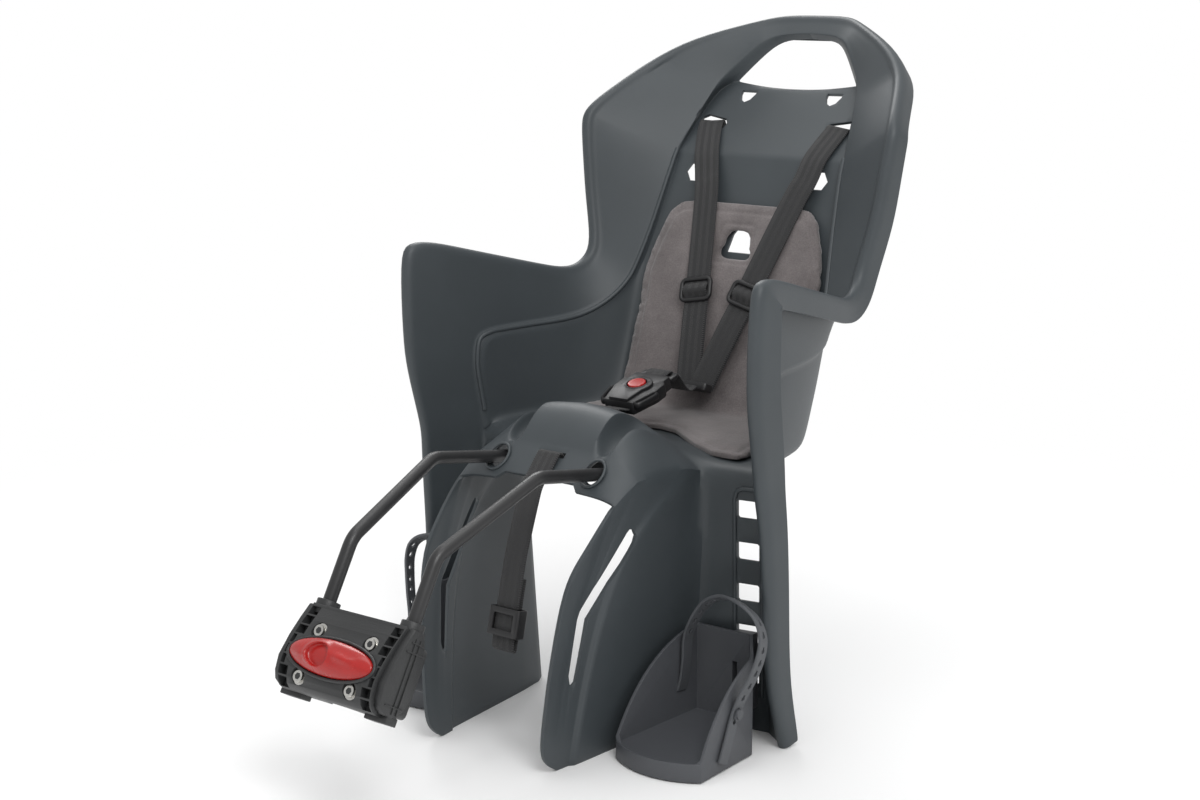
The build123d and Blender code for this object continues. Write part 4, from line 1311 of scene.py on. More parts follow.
    def leg_holes(self, side: int) -> list[Prism]:
        """Long slot and ladder holes of one leg guard.

        Args:
            side: 1 for the child's left, -1 for the right.

        Returns:
            Their prisms.
        """
        shift = self.leg_slot_x * side * MM
        flat = Matrix(((0, 0, side, shift), (1, 0, 0, TIP_Y * MM), (0, 1, 0, 0), (0, 0, 0, 1)))
        found: list[Prism] = [(flat, self.leg_slot, 30)]
        x, y, top = self.ladder_top
        for i in range(self.ladder_count):
            spot = plane_at(at(x * side, y, top - self.ladder_pitch * i), (0, -1, 0))
            found.append((spot, rounded_loop(*self.ladder_hole, 1), 24))
        return found


def prism(form: bmesh.types.BMesh, plane: Matrix, outline: Sequence[Flat], half: float) -> None:
    """Prism of an outline, through its plane.

    Args:
        form: where the prism goes.
        plane: the outline's plane, Z along the prism.
        outline: points in the plane, millimetres.
        half: how far it reaches to each side, millimetres.
    """
    low, high = [[form.verts.new(in_plane(plane, u, v, w)) for u, v in outline] for w in (-half, half)]
    form.faces.new(low[::-1])
    form.faces.new(high)
    for i in range(len(outline)):
        j = (i + 1) % len(outline)
        form.faces.new((low[i], low[j], high[j], high[i]))


def solid_of(name: str, prisms: Sequence[Prism]) -> bpy.types.Object:
    """Object of one or more prisms.

    Args:
        name: its name.
        prisms: the plane, outline and half depth of each.

    Returns:
        The object, its faces turned outwards.
    """
    form = bmesh.new()
    for plane, outline, half in prisms:
        prism(form, plane, outline, half)
    bmesh.ops.recalc_face_normals(form, faces=form.faces)
    mesh = bpy.data.meshes.new(name)
    form.to_mesh(mesh)
    form.free()
    return new_object(name, mesh)


def cut(obj: bpy.types.Object, tool: bpy.types.Object) -> None:
    """Takes a tool out of a piece and drops the tool.

    Args:
        obj: the piece.
        tool: what is taken out of it.
    """
    hole = obj.modifiers.new("holes", "BOOLEAN")
    hole.operation = "DIFFERENCE"
    hole.solver = "EXACT"
    hole.object = tool
    baked(obj)
    bpy.data.objects.remove(tool)


def soften(obj: bpy.types.Object, width: float, angle: float = 50.0, segments: int = 2) -> None:
    """Rounds a piece's sharp edges.

    Args:
        obj: the piece.
        width: the round's width, millimetres.
        angle: edges that turn by more are rounded, degrees.
        segments: steps of the round.
    """
    bevel = obj.modifiers.new("edges", "BEVEL")
    bevel.width = width * MM
    bevel.segments = segments
    bevel.limit_method = "ANGLE"
    bevel.angle_limit = math.radians(angle)
    bevel.use_clamp_overlap = True
    bevel.miter_outer = "MITER_ARC"
    baked(obj)


def edged(obj: bpy.types.Object, width: float, angle: float = 35.0, segments: int = 2) -> bpy.types.Object:
    """Rounds a piece's edges and shades it smooth between those that stay sharp.

    Args:
        obj: the piece.
        width: the round's width, millimetres.
        angle: edges that turn by more are rounded, degrees.
        segments: steps of the round.

    Returns:
        The piece.
    """
    soften(obj, width, angle, segments)
    shade_by_angle(obj.data, 40.0)
    return obj


def welded(node: str, name: str) -> bpy.types.Object:
    """Copy of a CAD node's mesh with its seams welded and its flat faces joined.

    Args:
        node: the CAD node.
        name: the copy's name.

    Returns:
        The copy, not yet placed.
    """
    obj = new_object(name, frame["nodes"][node].data.copy())
    form = bmesh.new()
    form.from_mesh(obj.data)
    bmesh.ops.remove_doubles(form, verts=form.verts, dist=2e-6)
    bmesh.ops.dissolve_limit(form, angle_limit=math.radians(0.5), verts=form.verts, edges=form.edges)
    form.to_mesh(obj.data)
    form.free()
    return obj


def rounded(node: str, finish: Finish, width: float) -> bpy.types.Object:
    """Piece that stands for a CAD node, with its edges rounded by a width in millimetres."""
    return place(edged(welded(node, f"{node}_look"), width), finish, body_of_node(node), node)


def tube(name: str, line: Sequence[Vector], up: Vector | Sequence[Vector], wide: float, tall: float,
         closed: bool = False, sides: int = 12) -> bpy.types.Object:
    """Rounded bar swept along a line.

    Args:
        name: its name.
        line: its middle.
        up: direction of its height, one for all or one for each point.
        wide: half width, millimetres.
        tall: half height, millimetres.
        closed: whether the line joins itself.
        sides: points round the section.

    Returns:
        The bar, not yet placed.
    """
    points, faces, n = [], [], len(line)
    for i, spot in enumerate(line):
        back = line[i - 1] if closed or i else spot
        ahead = line[(i + 1) % n] if closed or i < n - 1 else spot
        rise = up if isinstance(up, Vector) else up[i]
        side = (ahead - back).cross(rise).normalized()
        for k in range(sides):
            turn = math.tau * k / sides
            points.append(spot + side * math.cos(turn) * wide * MM + rise * math.sin(turn) * tall * MM)
    for i in range(n if closed else n - 1):
        for k in range(sides):
            a, b = i * sides, (i + 1) % n * sides
            faces.append((a + k, a + (k + 1) % sides, b + (k + 1) % sides, b + k))
    if not closed:
        faces.append(tuple(range(sides))[::-1])
        faces.append(tuple(range((n - 1) * sides, n * sides)))
    mesh = mesh_from(name, points, faces)
    shade_by_angle(mesh, 50.0)
    return new_object(name, mesh)


def rounded_loop(half_x: float, half_y: float, corner: float, steps: int = 5) -> list[Flat]:
    """Rounded rectangle as points, counter-clockwise.

    Args:
        half_x: half its width.
        half_y: half its height.
        corner: its corners' radius.
        steps: spans round a corner.

    Returns:
        The points.
    """
    loop = []
    for i, (sx, sy) in enumerate(((1, 1), (-1, 1), (-1, -1), (1, -1))):
        for k in range(steps + 1):
            turn = math.pi / 2 * (i + k / steps)
            loop.append((sx * (half_x - corner) + corner * math.cos(turn),
                         sy * (half_y - corner) + corner * math.sin(turn)))
    return loop


@dataclass
class Ribbon:
    """Flat strap along a line: its points, the way its face looks at each, its width and thickness."""

    points: Sequence[Vector]
    faces: Sequence[Vector]
    width: float
    thick: float
    steps: int = 8
    columns: Sequence[float] = (-1.0, -0.95, -0.5, 0.0, 0.5, 0.95, 1.0)

    def frames(self) -> list[tuple[Vector, Vector, Vector, float]]:
        """Middle, way across, way out and length so far at each step.

        Returns:
            One row for each step.
        """
        line = curve_through(self.points, self.steps)
        looks = curve_through(self.faces, self.steps)
        ways = ways_along(line)
        run, found = 0.0, []
        for i, spot in enumerate(line):
            along = ways[i].normalized()
            across = along.cross(looks[i]).normalized()
            run += (spot - line[i - 1]).length if i else 0.0
            found.append((spot, across, across.cross(along).normalized(), run))
        return found

    def piece(self, name: str) -> bpy.types.Object:
        """The strap with its millimetre UVs, not yet placed.

        Args:
            name: its name.

        Returns:
            The strap.
        """
        points, marks, faces = [], [], []
        count = len(self.columns)
        for spot, across, out, run in self.frames():
            for side in (1, -1):
                for c in self.columns[::side]:
                    edge = 0.45 if abs(c) == 1 else 1.0
                    aside = across * c * self.width / 2 * MM
                    points.append(spot + aside + out * side * edge * self.thick / 2 * MM)
                    marks.append((c * self.width / 2, run / MM))
        ring = 2 * count
        for i in range(len(points) // ring - 1):
            for k in range(ring):
                a, b = i * ring + k, i * ring + (k + 1) % ring
                faces.append((a, b, b + ring, a + ring))
        for start in (0, len(points) - ring):
            for k in range(count - 1):
                a, b = start + k, start + ring - 1 - k
                faces.append((a, a + 1, b - 1, b))
        mesh = mesh_from(name, points, faces)
        uv = mesh.uv_layers.new(name="weave")
        for loop in mesh.loops:
            uv.data[loop.index].uv = marks[loop.vertex_index]
        form = bmesh.new()
        form.from_mesh(mesh)
        bmesh.ops.recalc_face_normals(form, faces=form.faces)
        form.to_mesh(mesh)
        form.free()
        shade_by_angle(mesh, 55.0)
        return new_object(name, mesh)

    def length(self) -> float:
        """Length along the middle, millimetres."""
        return self.frames()[-1][3] / MM


def stretch(obj: bpy.types.Object, finish: Finish, bodies: tuple[str, str], span: tuple[Vector, Vector],
            *stands_for: str) -> None:
    """Gives a strap its finish and bakes its placement into its mesh; it is not tied to either body.

    Args:
        obj: the strap.
        finish: what it is made of.
        bodies: the bodies at its two ends.
        span: where it leaves the first body and where it joins the second; not used.
        stands_for: CAD nodes that it replaces.
    """
    obj.data.materials.append(finish.material())
    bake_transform(obj)
    if stands_for:
        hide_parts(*stands_for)
    LOG.info("%s bends between %s and %s", obj.name, *bodies)


@dataclass
class Liner:
    """Felt liner up the back and over the pan, pressed from one sheet with a hemmed edge."""

    voxel: float = 4.0
    rough_voxel: float = 6.0
    pressure: float = 5.0
    frames: int = 14
    quality: int = 4
    most: float = 2.2
    slim: float = 0.6
    hem: float = 7.5
    hem_depth: float = 1.1
    hem_width: float = 1.9
    side: Sequence[Flat] = (
        (104, 270), (101, 300), (105, 395), (98, 425), (88, 452), (76, 462), (60, 464), (0, 464))
    plan: Sequence[Flat] = (
        (0, 263), (24, 256), (44, 241), (72, 220), (100, 206), (126, 206), (132, 212), (118, 300),
        (104, 330))
    hole: Sequence[Flat] = ((0, 412), (19, 412), (14.5, 440), (0, 440))
    trim: float = 5.0
    # where the pan ends and the back begins, and how far the back leans for each millimetre up
    fold_z: float = 272.0
    back_lean: float = 0.37
    fill: float = 0.6
    # slow and quick waves of the felt: how many a metre, and how high
    waves: Sequence[Flat] = ((22.0, 0.5), (60.0, 0.2))

    def build(self) -> bpy.types.Object:
        """Makes the liner.

        Returns:
            The piece.
        """
        pad = welded("seat_pad", "liner")
        even = pad.modifiers.new("even", "REMESH")
        even.mode = "VOXEL"
        even.voxel_size = self.voxel * MM
        baked(pad)
        normals = [vertex.normal.copy() for vertex in pad.data.vertices]
        for vertex, normal in zip(pad.data.vertices, normals):
            vertex.co -= normal * self.slim * MM
        self.inflate(pad)
        ease = pad.modifiers.new("ease", "SMOOTH")
        ease.iterations = 4
        finer = pad.modifiers.new("finer", "SUBSURF")
        finer.levels = finer.render_levels = 1
        baked(pad)
        self.press_hem(pad)
        shade_by_angle(pad.data, 180.0)
        return place(pad, FELT, "seat", "seat_pad")

    def inflate(self, pad: bpy.types.Object) -> None:
        """Fills the liner by a short cloth run, with every vertex's movement capped.

        Args:
            pad: the liner.
        """
        rest = [v.co.copy() for v in pad.data.vertices]
        cloth = pad.modifiers.new("fill", "CLOTH")
        cloth.settings.quality = self.quality
        cloth.settings.use_pressure = True
        cloth.settings.uniform_pressure_force = self.pressure
        cloth.settings.effector_weights.gravity = 0.0
        cloth.point_cache.frame_start = 1
        cloth.point_cache.frame_end = self.frames
        scene = bpy.context.scene
        for step in range(1, self.frames + 1):
            scene.frame_set(step)
        baked(pad)
        scene.frame_set(1)
        for vertex, old in zip(pad.data.vertices, rest):
            move = vertex.co - old
            if move.length > self.most * MM:
                vertex.co = old + move.normalized() * self.most * MM

    def gap_to(self, line: Sequence[Flat], x: float, v: float) -> Vector:
        """Way from a point to the nearest point of an outline.

        Args:
            line: the outline's points on one side.
            x: how far out.
            v: how far along.

        Returns:
            The way to it, millimetres.
        """
        best = Vector((1e9, 0))
        spot = Vector((abs(x), v))
        for a, b in zip(line, line[1:]):
            start, span = Vector(a), Vector(b) - Vector(a)
            share = min(max((spot - start).dot(span) / span.length_squared, 0.0), 1.0)
            best = min(best, start + span * share - spot, key=lambda gap: gap.length)
        return best

    def press_hem(self, pad: bpy.types.Object) -> None:
        """Presses a line along the edge and round the hole, and lets the felt wave a little.

        Args:
            pad: the liner.
        """
        normals = [vertex.normal.copy() for vertex in pad.data.vertices]
        for vertex, normal in zip(pad.data.vertices, normals):
            x, y, z = vertex.co.x / MM, vertex.co.y / MM - TIP_Y, vertex.co.z / MM
            back = z > self.fold_z
            gap = self.gap_to(self.side, x, z) if back else self.gap_to(self.plan, x, y)
            gaps = [gap.length, self.gap_to(self.hole, x, z).length + 2.5] if back else [gap.length]
            press = sum(math.exp(-((reach - self.hem) / self.hem_width) ** 2) for reach in gaps)
            wave = sum(noise.noise(vertex.co * scale) * rise for scale, rise in self.waves)
            vertex.co += normal * (wave - press * self.hem_depth) * MM
            if gap.length < self.trim:
                across = math.copysign(gap.x, gap.x * x)
                way = Vector((across, gap.y, 0))
                if back:
                    way = Vector((across, gap.y * self.back_lean, gap.y))
                sideways = abs(normal.dot(way.normalized())) if gap.length > 0.01 else 0.0
                vertex.co += way * smoothstep((sideways - 0.25) / 0.4) * MM


def straps_face(upper: float) -> Vector:
    """Way a shoulder strap's face looks: along the back at 0, along the head panel at 1."""
    return lerp(Vector((0, -0.94, 0.342)), Vector((0, -0.717, 0.697)), upper).normalized()


@dataclass
class Harness:
    """Shoulder straps with slide adjusters, joiner, tongue strap, buckle and crotch strap."""

    web: float = 28.0
    belt: float = 25.0
    thick: float = 1.8
    ring: tuple[float, float, float] = (11.0, 16.8, 5.0)
    bar: tuple[float, float] = (2.4, 2.5)
    buckle_spot: tuple[float, float] = (229.0, 301.0)
    # how far out each shoulder strap lies at shoulder height, and how far back its lower end
    hang: dict[str, float] = field(default_factory=lambda: {"left": 56.1, "right": 45.0})
    low_end: dict[str, float] = field(default_factory=lambda: {"left": 321.8, "right": 325.0})
    low_x: float = 9.0
    shoulder_y: float = 405.7
    # share of the way up to the shoulder at which the adjuster's stretch begins
    bend: float = 0.34
    lengths: dict[str, float] = field(default_factory=dict)
    # buckle: half of its outline from the tongue's end, the plate's radius and lower corner, the
    # button's well and collar, the tongue's mouth and one lever, all from the middle of its face
    buckle_half: Sequence[Flat] = ((20.5, 24), (20.5, 13), (25, 8), (25, -7), (17, -36))
    plate_r: float = 15.8
    plate_low: Flat = (11.0, -35.5)
    button_y: float = -3.0
    well_r: float = 9.7
    collar_r: float = 10.8
    mouth: tuple[float, float, float, float] = (-15.4, 15.4, 8.5, 40.0)
    lever: Sequence[Flat] = ((20, -9), (24.5, -8), (27, -11), (23, -30), (19, -33.5), (16.5, -29), (19, -17))

    def build(self) -> None:
        """Makes every piece of the harness."""
        for side, name in SIDES:
            self.shoulder(side, name)
            rounded(f"strap_anchor_{name}", TRIM, 1.2)
        self.tongue()
        self.crotch()
        self.buckle()
        rounded("harness_joiner", TRIM, 1.2)
        rounded("buckle_tongue", TRIM, 1.0)
        rounded("buckle_button", RED, 0.6)

    def shoulder(self, side: int, name: str) -> None:
        """One shoulder strap and its adjuster.

        Args:
            side: 1 for the child's left, -1 for the right.
            name: left or right.
        """
        foot, low, hang, back = self.low_x, self.low_end[name], self.hang[name], self.shoulder_y
        run = ((foot, low, 290), (foot + self.bend * (hang - foot), low + self.bend * (back - low), 349.2),
               (hang, back, 464), (hang + 9, 420.5, 492), ((hang + 69.5) / 2 + 6, 434, 514),
               (75.5, 458, 537), (77, 465, 542), (77.6, 474, 533.5))
        points = [at(x * side, y, z) for x, y, z in run]
        looks = [straps_face(t) for t in (0, 0, 0, 0.3, 0.7, 1, 1.3)] + [Vector((0, 0.55, 0.83))]
        strap = Ribbon(points, looks, self.web, self.thick)
        self.lengths[f"shoulder_{name}"] = strap.length()
        place(strap.piece(f"shoulder_web_{name}"), WEB, "seat", f"shoulder_strap_{name}")
        out = straps_face(0) * MM
        over = [p + out * 2.1 for p in points[:2]] + [lerp(points[1], points[2], 0.16) + out]
        fold = Ribbon(over, looks[:3], self.web - 1, 1.6)
        stretch(fold.piece(f"strap_return_{name}"), WEB, ("seat", f"adjuster_{name}"), (over[0], over[-1]))
        self.adjuster(name, points[1], points[2])

    def adjuster(self, name: str, low: Vector, high: Vector) -> None:
        """Slide adjuster: a rounded ring, its middle bar and the webbing that goes over it.

        Args:
            name: left or right.
            low: strap point below it.
            high: strap point above it.
        """
        node = f"strap_adjuster_{name}"
        lowest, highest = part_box(node)
        along = (high - low).normalized()
        out = straps_face(0)
        out = (out - along * out.dot(along)).normalized()
        across = along.cross(out).normalized()
        middle = lerp(lowest, highest, 0.5)
        share = (middle.z - low.z) / (high.z - low.z)
        middle.x = lerp(low, high, share).x
        middle += out * 1.4 * MM
        half_along, half_across, corner = self.ring
        shape = rounded_loop(half_along, half_across, corner)
        loop = [middle + (along * u + across * v) * MM for u, v in shape]
        body = body_of_node(node)
        place(tube(f"adjuster_ring_{name}", loop, out, *self.bar, closed=True), TRIM, body, node)
        ends = [middle + (across * v - out * 1.5) * MM for v in (-half_across, half_across)]
        place(tube(f"adjuster_bar_{name}", ends, out, 2.2, 1.4), TRIM, body)
        hops = ((11.5, -2.6), (7, -1.2), (3.2, 1.6), (0, 2.6), (-3.2, 1.6), (-7, -1.2), (-11.5, -2.6))
        line = [middle + (along * u + out * w) * MM for u, w in hops]
        over = Ribbon(line, [out] * len(hops), self.web, 1.6, 4)
        place(over.piece(f"adjuster_web_{name}"), WEB, body)

    def tongue(self) -> None:
        """Slack strap between the joiner and the tongue, which pulls out of the buckle."""
        run = ((309.5, 293.6), (304, 291.2), (297, 291), (289, 296.5), (281.5, 305), (274, 311),
               (264.5, 311.8))
        points = [at(0, y, z) for y, z in run]
        ways = ((0.4, 0.92), (0.2, 0.98), (0.1, 1), (0.55, 0.83), (0.55, 0.83), (0, 1), (-0.28, 0.96))
        strap = Ribbon(points, [Vector((0, y, z)) for y, z in ways], self.belt, self.thick)
        self.lengths["tongue"] = strap.length()
        stretch(strap.piece("tongue_web"), BELT, ("seat", "tongue"), (points[1], points[-2]), "tongue_strap")

    def crotch(self) -> None:
        """Short strap from the buckle into the hump."""
        run = ((199, 289.4), (191, 289.6), (183, 291.6), (178, 292), (175.5, 288), (175, 280), (175, 269.5))
        points = [at(0, y, z) for y, z in run]
        ways = ((-0.1, 0.99), (0.1, 0.99), (0, 1), (-0.7, 0.7), (-0.98, 0.2), (-1, 0), (-1, 0))
        strap = Ribbon(points, [Vector((0, y, z)) for y, z in ways], self.belt, self.thick, 5)
        self.lengths["crotch"] = strap.length()
        place(strap.piece("crotch_web"), BELT, "seat", "crotch_strap")

    def buckle_frame(self) -> Matrix:
        """Buckle's plane: X across, Y to the tongue, Z out of its face."""
        return plane_at(at(0, *self.buckle_spot), (0, -0.28, 0.96))

    def buckle(self) -> None:
        """Buckle body with a raised plate round the button and a lever on each side."""
        spot = self.buckle_frame()
        out = spot.to_3x3() @ Vector((0, 0, 1))
        outline = [*self.buckle_half, *((-x, y) for x, y in reversed(self.buckle_half))]
        body = solid_of("buckle_body", [(moved(spot, z=-0.4), outline, 6.8)])
        turns = [math.radians(a) for a in range(-35, 216, 10)]
        plate = [(self.plate_r * math.cos(a), self.button_y + self.plate_r * math.sin(a)) for a in turns]
        half, low = self.plate_low
        raised = solid_of("buckle_plate", [(moved(spot, z=6.6), plate + [(-half, low), (half, low)], 2.6)])
        well = circle(self.well_r, 40, 0, self.button_y)
        for piece, width in ((body, 1.6), (raised, 1.0)):
            tools = [(moved(spot, z=5), well, 10), (spot, rectangle(*self.mouth), 2.7)]
            cut(piece, solid_of("buckle_cuts", tools))
            edged(piece, width, 40)
        place(body, TRIM, "seat", "harness_buckle")
        place(raised, TRIM, "seat")
        collar = [in_plane(spot, x, y, 9.0) for x, y in circle(self.collar_r, 48, 0, self.button_y)]
        place(tube("button_collar", collar, out, 0.8, 0.7, closed=True), TRIM, "seat")
        for side, name in SIDES:
            loop = curve_through([in_plane(spot, x * side, y, 2.2) for x, y in self.lever], 5, closed=True)
            place(tube(f"buckle_lever_{name}", loop, out, 1.7, 3.6, closed=True), TRIM, "seat")
        self.tongue_fold(spot)

    def tongue_fold(self, spot: Matrix) -> None:
        """Webbing that goes round the tongue's bar.

        Args:
            spot: the buckle's plane.
        """
        fold = ((25, 3.2), (29, 3.9), (34, 4.3), (38.5, 3.2), (40.3, 0.2), (39, -2.8))
        ways = ((0, 1), (0, 1), (0.1, 1), (0.6, 0.8), (1, 0), (0.8, -0.6))
        looks = [spot.to_3x3() @ Vector((0, y, z)) for y, z in ways]
        web = Ribbon([in_plane(spot, 0, y, z) for y, z in fold], looks, self.belt, self.thick, 4)
        place(web.piece("tongue_fold"), BELT, "tongue")


@dataclass
class Carrier:
    """Rod bow, its bracket under the pan, the seat tube block and its red release."""

    oval: tuple[float, float] = (46.0, 15.2)
    dish: tuple[float, float, float] = (-9.0, 0.5, 13.2)
    dish_depth: float = 4.2
    rise: float = 8.6
    lean: float = 31.0
    # side view of the front half and of its cheeks: up the seat tube and out of the front
    bow: Sequence[Flat] = (
        (43, -14), (36, -11.5), (28, -8.2), (20, -5), (11.5, -2.3), (2, 0.5), (-7.5, 2), (-15, 1.6),
        (-22.5, -0.3), (-28, -3.8), (-31, -8), (-32.5, -13), (-32.5, -39), (43, -39))
    cheek: Sequence[Flat] = (
        (42, -17), (28, -11.5), (11.5, -6), (-7.5, -2), (-20, -4), (-27, -8), (-30, -14), (-31, -24),
        (-23, -35), (-8, -40.5), (11, -41), (27.5, -37), (38, -32), (43, -26))
    half_width: float = 53.0
    full_width: float = 61.0
    middle: Point = (0, -199, 149)
    # oval's seat: room round the oval, then the middle and half of its depth
    oval_gap: float = 0.6
    oval_seat: Flat = (-1.3, 14.4)
    # raised ridges on the oval: X, Y, half width, half height, rise and slope of each
    ridges: Sequence[tuple[float, ...]] = ((18, 2, 13, 3.6, 2.4, 0.1), (-28, -3, 8, 3.0, 1.2, 0.0))
    # black rim: its distance from the oval, its lift off the bow and its half width and height
    rim_gap: float = 1.9
    rim_lift: float = 0.4
    rim_bar: Flat = (1.5, 1.9)
    # seat tube's bore: its radius and how far behind the block's plane its middle is
    tube_bore: Flat = (17.5, 40.0)
    # springs' bores: X, radius, then the middle and half of their depth
    spring_x: float = 36.0
    spring_bore: float = 5.2
    spring_seat: Flat = (-23.0, 8.6)
    bolts: Flat = (29.0, 20.5)
    bolt_sunk: float = 3.6
    bolt_seat: float = -12.0
    bolt_squat: float = 0.45
    bolt_well: float = 7.4
    # radius of the dark hexagon painted into each bolt's head as the shade of its socket
    socket_shade_r: float = 3.0
    # pockets down each side: width and height of one, the lowest one's middle, their pitch and count
    pocket: Flat = (10.0, 7.6)
    pocket_low: float = -27.5
    pocket_pitch: float = 9.1
    pocket_count: int = 8
    rods: Flat = (48.0, -26.0)
    collar_r: float = 10.4
    tab: Flat = (12.0, 7.0)
    # ribs on a cheek: across it at Y, from the back out to the front, and along it at Z
    cross_ribs: Sequence[Point] = ((-22.0, -34, -10), (24.0, -37, -14), (32.0, -33, -17))
    long_ribs: Sequence[float] = (-22.0, -28.0)
    # rear half: share that its ends are drawn in, from which X and over what width; its scale and shift in Y
    rear_draw: Point = (0.24, 36.0, 10.0)
    rear_fit: Flat = (0.9, 3.0)

    def build(self) -> None:
        """Makes the carrier's pieces."""
        rounded("carrier_bow", RODS, 0.3)
        rounded("bow_bracket", BLOCK, 1.0)
        rounded("bracket_screws", STEEL, 0.3)
        self.front()
        self.rear()
        for node in ("clamp_washers", "clamp_bolts"):
            self.fastener(node)
        rounded("clamp_nuts", STEEL, 0.35)
        self.button()

    def block_frame(self) -> Matrix:
        """Block's plane: X across, Y up along the seat tube, Z out of its front."""
        tilt = math.radians(self.lean)
        return plane_at(at(*self.middle), (0, -math.cos(tilt), math.sin(tilt)))

    def side_on(self, x: float) -> Matrix:
        """Plane across the block at x: outlines in it run up the seat tube and out of the front."""
        turned = Matrix(((0, 0, 1, x * MM), (1, 0, 0, 0), (0, 1, 0, 0), (0, 0, 0, 1)))
        return self.block_frame() @ turned

    def end_on(self, y: float) -> Matrix:
        """Plane square to the seat tube at y: outlines in it run across and back."""
        turned = Matrix(((1, 0, 0, 0), (0, 0, 1, y * MM), (0, -1, 0, 0), (0, 0, 0, 1)))
        return self.block_frame() @ turned

    def bow_at(self, y: float) -> float:
        """How far the bowed front stands out at y up the seat tube, millimetres."""
        return level_at(sorted(self.bow[:-2]), y)

    def bolt_lift(self, y: float) -> float:
        """How far a bolt's head comes up from its flat seat to the bowed front."""
        return self.bow_at(math.copysign(self.bolts[1], y)) - self.bolt_sunk - self.bolt_seat

    def bolt_spots(self) -> list[Flat]:
        """Middles of the four bolts on the block's front."""
        x, y = self.bolts
        return [(u, v) for u in (-x, x) for v in (-y, y)]

    def pockets(self) -> list[Prism]:
        """Row of pockets down each side of the front, cut short where the oval is wide.

        Returns:
            Their prisms.
        """
        spot = self.block_frame()
        wide, tall = self.pocket
        outer = self.half_width - 1.2
        found: list[Prism] = []
        for side, _ in SIDES:
            for i in range(self.pocket_count):
                y = self.pocket_low + self.pocket_pitch * i
                share = min(max(abs(y) - tall / 2, 0) / (self.oval[1] + 3.4), 1.0)
                inner = max(outer - wide, (self.oval[0] + 3.6) * math.sqrt(1 - share ** 2))
                box = rectangle(side * inner, side * outer, y - tall / 2, y + tall / 2)
                found.append((moved(spot, z=self.bow_at(y) + 3), box, 12))
        return found

    def front(self) -> None:
        """Front half of the block: bowed, with its oval seat, bores, bolt wells and pockets."""
        spot = self.block_frame()
        piece = solid_of("block_front_look", [(self.side_on(0), self.bow, self.half_width)])
        wide, tall = (reach + self.oval_gap for reach in self.oval)
        seat = [(wide * u, tall * v) for u, v in circle(1, 64)]
        level, half = self.oval_seat
        cut(piece, solid_of("oval_seat", [(moved(spot, z=level), seat, half)]))
        coil = circle(self.spring_bore, 32)
        level, half = self.spring_seat
        bores = [(moved(spot, side * self.spring_x, 0, level), coil, half) for side, _ in SIDES]
        cut(piece, solid_of("spring_bores", bores))
        radius, behind = self.tube_bore
        cut(piece, solid_of("tube_bore", [(self.end_on(0), circle(radius, 64, 0, behind), 60)]))
        wells, half = [], 12
        for x, y in self.bolt_spots():
            floor = self.bolt_seat + self.bolt_lift(y)
            wells.append((moved(spot, z=floor + half), circle(self.bolt_well, 32, x, y), half))
        cut(piece, solid_of("bolt_wells", wells))
        cut(piece, solid_of("pockets", self.pockets()))
        place(edged(piece, 0.7), BLOCK, body_of_node("block_front"), "block_front")
        for side, name in SIDES:
            self.flank(side, name)

    def flank(self, side: int, name: str) -> None:
        """Cheek on one end of the block, with its ribs, and the rod's collar and tab.

        Args:
            side: 1 for the child's left, -1 for the right.
            name: left or right.
        """
        rod_x, behind = side * self.rods[0], -self.rods[1]
        middle = (self.half_width + self.full_width) / 2 - 0.6
        cheek = solid_of(f"block_cheek_{name}", [(self.side_on(side * middle), self.cheek, 4.0)])
        collar = circle(self.collar_r, 32, rod_x, behind)
        wide, deep = self.tab
        tab = rectangle(rod_x - wide, rod_x + wide, behind - deep, behind + deep)
        ends = solid_of(f"rod_collar_{name}", [(self.end_on(42), collar, 6.5), (self.end_on(-33), tab, 3.5)])
        bars: list[Prism] = []
        for y, back, out in self.cross_ribs:
            bar = rectangle(y - 0.6, y + 0.6, back, out)
            bars.append((self.side_on(side * (self.full_width - 0.8)), bar, 1.3))
        for z in self.long_ribs:
            bars.append((self.side_on(side * (self.full_width - 0.6)), rectangle(-28, 36, z, z + 1), 1.0))
        ribs = solid_of(f"block_ribs_{name}", bars)
        for part, width in ((cheek, 1.0), (ends, 0.8), (ribs, 0.35)):
            place(edged(part, width, 40), BLOCK, body_of_node("block_front"))

    def rear(self) -> None:
        """Rear half of the block, drawn in behind the cheeks."""
        piece = welded("block_rear", "block_rear_look")
        draw, start, width = self.rear_draw
        squash, shift = self.rear_fit
        spot = self.block_frame()
        back = spot.inverted()
        for vertex in piece.data.vertices:
            local = back @ vertex.co / MM
            local.x *= 1 - draw * smoothstep((abs(local.x) - start) / width)
            local.y = local.y * squash + shift
            vertex.co = spot @ (local * MM)
        place(edged(piece, 1.2), BLOCK, body_of_node("block_rear"), "block_rear")

    def fastener(self, node: str) -> None:
        """Bolts or washers, brought up to the bowed front, with low heads; each bolt's head gets a dark
        hexagon as painted shade for its socket.

        Args:
            node: the CAD node.
        """
        piece = welded(node, f"{node}_look")
        spot = self.block_frame()
        back = spot.inverted()
        for vertex in piece.data.vertices:
            local = back @ vertex.co / MM
            if local.z > -14:
                head = max(local.z - self.bolt_seat, 0.0)
                local.z += self.bolt_lift(local.y) - head * self.bolt_squat
                vertex.co = spot @ (local * MM)
        spots = [back @ vertex.co / MM for vertex in piece.data.vertices]
        place(edged(piece, 0.35), STEEL, body_of_node(node), node)
        # painted shade: a flush dark hexagon in the block's nylon stands in for each bolt's socket recess,
        # which is not cut
        if node == "clamp_bolts":
            socket_shades = []
            for x, y in self.bolt_spots():
                top = max(local.z for local in spots if local.y * y > 0)
                socket_shades.append((moved(spot, x, y, top - 0.9), circle(self.socket_shade_r, 6), 0.98))
            place(solid_of("painted_socket_shades", socket_shades), BLOCK, body_of_node(node))

